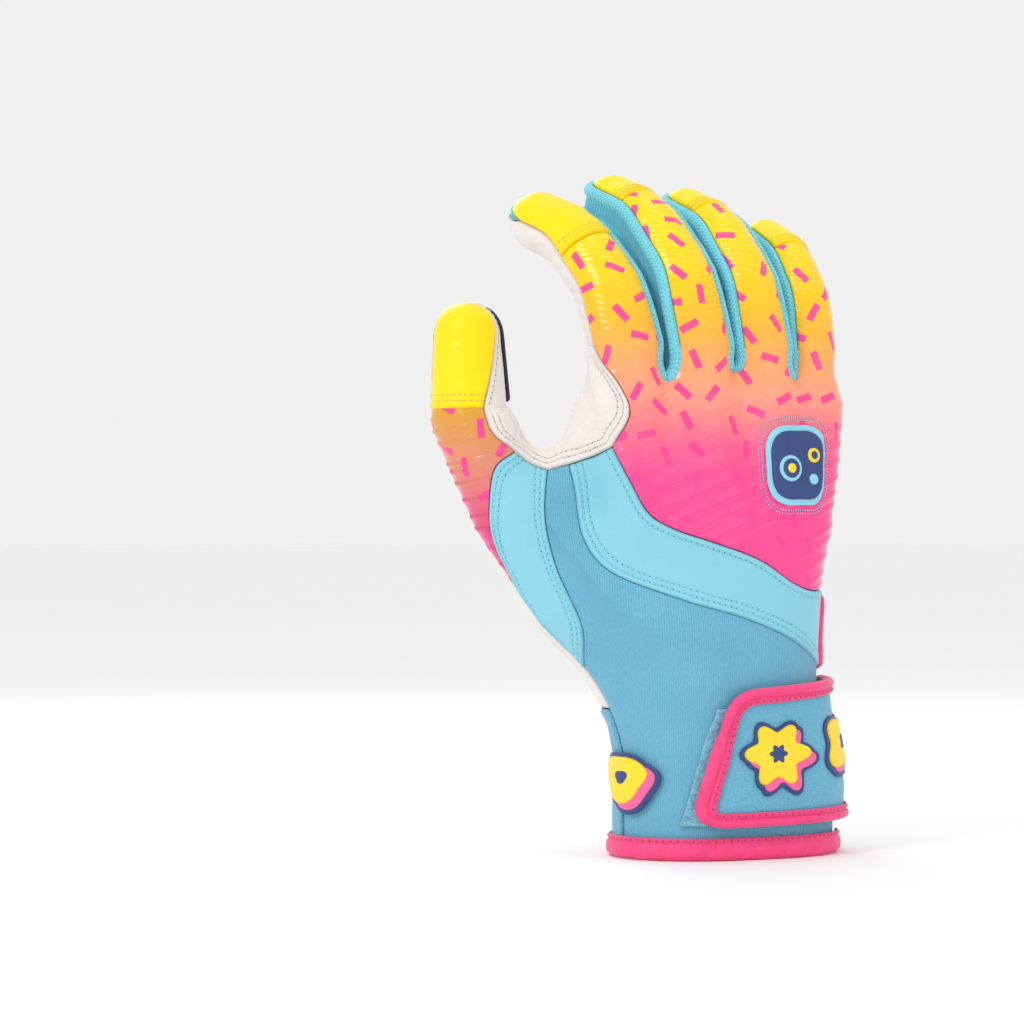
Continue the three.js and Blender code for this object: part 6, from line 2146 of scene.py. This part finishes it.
class GLOVE_OT_shapes(Operator):
    """Moulded shapes of cuff and strap, and the badge on the back"""
    bl_idname = "glove.shapes"
    bl_label = "Moulded shapes"

    def execute(self, context):
        """Five plates for each: two navy, a pink, a yellow, and a navy middle."""
        for shapes, face, low, body in ((CUFF_SHAPES, 1, 1.75, "hand"), (STRAP_SHAPES, -1, 4.9, "wrist_strap")):
            away = (-1.9 * face, -2.0)
            for name, (x, z, radius, lobes, depth, turn) in shapes.items():
                piece = Piece(name)
                for size, share, foot, top, finish, offset, edge in (
                        (radius - 0.3, 0.85, 0, 0.55, "navy_rubber", away, 0.4),
                        (radius - 0.3, 0.85, 0.05, 0.6, "navy_rubber", (0, 0), 0.4),
                        (radius - 1.9, 1, 0.3, 1.0, "pink_rubber", away, 0.5),
                        (radius - 1.9, 1, 0.4, 1.7, "yellow_rubber", (0, 0), 1.1),
                        (radius * 0.24, 1, 1.5, 1.85, "navy_rubber", (0, 0), 0.4)):
                    plate(piece, (x, z), face, lobed(size, lobes, depth * share, turn), low + foot, low + top,
                          finish, offset, edge=edge)
                piece.write("yellow_rubber", body)
        self.badge()
        return {"FINISHED"}

    @staticmethod
    def badge():
        """A rounded square plate: a pale rim with studs round a navy field, and round plates in relief."""
        piece = Piece("back_badge")
        x, z = 21, 136
        rounded = lambda r: lobed(r, 4, 0.075, 45)
        plate(piece, (x, z), -1, rounded(15.2), 0.35, 0.95, "pale_rubber", squash=0.95, edge=0.6)
        plate(piece, (x, z), -1, rounded(13.0), 0.5, 1.6, "navy_rubber", squash=0.95, edge=0.6)
        for right, up, r, top, finish in (
                (-4.2, -1.2, 4.6, 2.2, "pale_rubber"), (-4.2, -1.2, 3.5, 2.45, "navy_rubber"),
                (-4.2, -1.2, 1.7, 2.8, "yellow_rubber"), (6.2, 3.4, 2.6, 2.2, "yellow_rubber"),
                (6.2, 3.4, 1.5, 2.45, "navy_rubber"), (5.6, -5.0, 1.9, 2.2, "pale_rubber")):
            plate(piece, (x + right, z + up), -1, lobed(r, 1, 0, 0), 1.3, top, finish, edge=0.5)
        for radius in (17.0, 18.3):
            _, base, normal = disc((x, z), -1, rounded(radius), squash=0.95)
            studs(piece, base[-1] + normal[-1] * 0.3, normal[-1], 0.32, 0.4, "pale_rubber")
        piece.write("navy_rubber")


CAMERA_TURN = -28.0
CAMERA_DISTANCE = 1.3
CAMERA_HEIGHT = 0.12
IMAGE = 1024
TARGET_PIXEL = (725, 511)
PIXEL_SIZE = 0.0003514
SENSOR = 36.0


class GLOVE_OT_stage(Operator):
    """Pale floor, soft studio lights and the camera"""
    bl_idname = "glove.stage"
    bl_label = "Stage"

    def execute(self, context):
        """Lamps and camera stand at distances behind, beside and above the view's target."""
        scene = context.scene
        scene.view_settings.view_transform = "Standard"
        floor_paint()
        turn = np.linspace(0, 2 * np.pi, 97)[:-1]
        radii = np.array([0.0001, 0.5, 1.5, 4.0, 12.0])[:, None]
        grid = np.stack([radii * np.cos(turn), radii * np.sin(turn), 0 * radii * turn], -1)
        mesh = bpy.data.meshes.new("floor")
        mesh.from_pydata(grid.reshape(-1, 3).tolist(), [],
                         [*spread(len(radii), len(turn)).tolist(), list(range(len(turn)))])
        mesh.materials.append(MATERIALS["pale_floor"])
        added("floor", mesh)

        scene.world = bpy.data.worlds.new("studio")
        scene.world.use_nodes = True
        background = scene.world.node_tree.nodes["Background"]
        background.inputs["Color"].default_value = (1, 1, 1, 1)
        background.inputs["Strength"].default_value = 0.87

        a = np.radians(CAMERA_TURN)
        back = np.array([np.sin(a), -np.cos(a), 0])
        right = np.array([np.cos(a), np.sin(a), 0])
        target = np.array([0, 0, CAMERA_HEIGHT])
        for name, place_at, size, power in (
                ("key", back * 0.9 - right * 0.75 + (0, 0, 0.85), 0.4, 4.2),
                ("fill", back * 0.9 + right * 1.0 + (0, 0, 0.25), 0.8, 1.2),
                ("top", back * 0.1 + right * 0.1 + (0, 0, 1.3), 0.6, 1.2),
                ("rim", -back * 0.8 - right * 0.4 + (0, 0, 0.7), 0.5, 1.6)):
            light = bpy.data.lights.new(name, "AREA")
            light.shape = "DISK"
            light.size = size
            light.energy = power
            aim(added(name, light), place_at, target)

        camera = bpy.data.cameras.new("camera")
        camera.sensor_width = SENSOR
        camera.lens = CAMERA_DISTANCE / (PIXEL_SIZE * IMAGE) * SENSOR
        camera.shift_x = (IMAGE / 2 - TARGET_PIXEL[0]) / IMAGE
        camera.shift_y = (TARGET_PIXEL[1] - IMAGE / 2) / IMAGE
        camera.clip_start = 0.05
        scene.camera = added("camera", camera)
        aim(scene.camera, target + back * CAMERA_DISTANCE, target)
        return {"FINISHED"}


def aim(obj, origin, target):
    """Puts a lamp or the camera at one place and points it at another."""
    obj.location = origin
    obj.rotation_euler = Vector(target - origin).to_track_quat("-Z", "Y").to_euler()


OPERATORS = (GLOVE_OT_stage, GLOVE_OT_back, GLOVE_OT_fingers, GLOVE_OT_webs, GLOVE_OT_thumb, GLOVE_OT_palm,
             GLOVE_OT_cuff, GLOVE_OT_strap, GLOVE_OT_shapes)


class GLOVE_PT_panel(bpy.types.Panel):
    """The glove's settings and steps"""
    bl_label = "Glove"
    bl_space_type = "VIEW_3D"
    bl_region_type = "UI"
    bl_category = "Glove"

    def draw(self, context):
        """Every setting, then every step."""
        for group in (context.scene.glove_sizes, context.scene.glove_colours):
            for name in group.__annotations__:
                self.layout.prop(group, name)
        for operator in OPERATORS:
            self.layout.operator(operator.bl_idname)


CLASSES = (GloveSizes, GloveColours, *OPERATORS, GLOVE_PT_panel)


def register():
    """Adds the classes and both groups of settings."""
    for cls in CLASSES:
        bpy.utils.register_class(cls)
    bpy.types.Scene.glove_sizes = PointerProperty(type=GloveSizes)
    bpy.types.Scene.glove_colours = PointerProperty(type=GloveColours)


def unregister():
    """Takes them away again."""
    del bpy.types.Scene.glove_colours
    del bpy.types.Scene.glove_sizes
    for cls in reversed(CLASSES):
        bpy.utils.unregister_class(cls)


def main():
    """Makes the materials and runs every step."""
    register()
    make_materials()
    for operator in OPERATORS:
        group, name = operator.bl_idname.split(".")
        getattr(getattr(bpy.ops, group), name)()


if __name__ == "__main__":
    main()
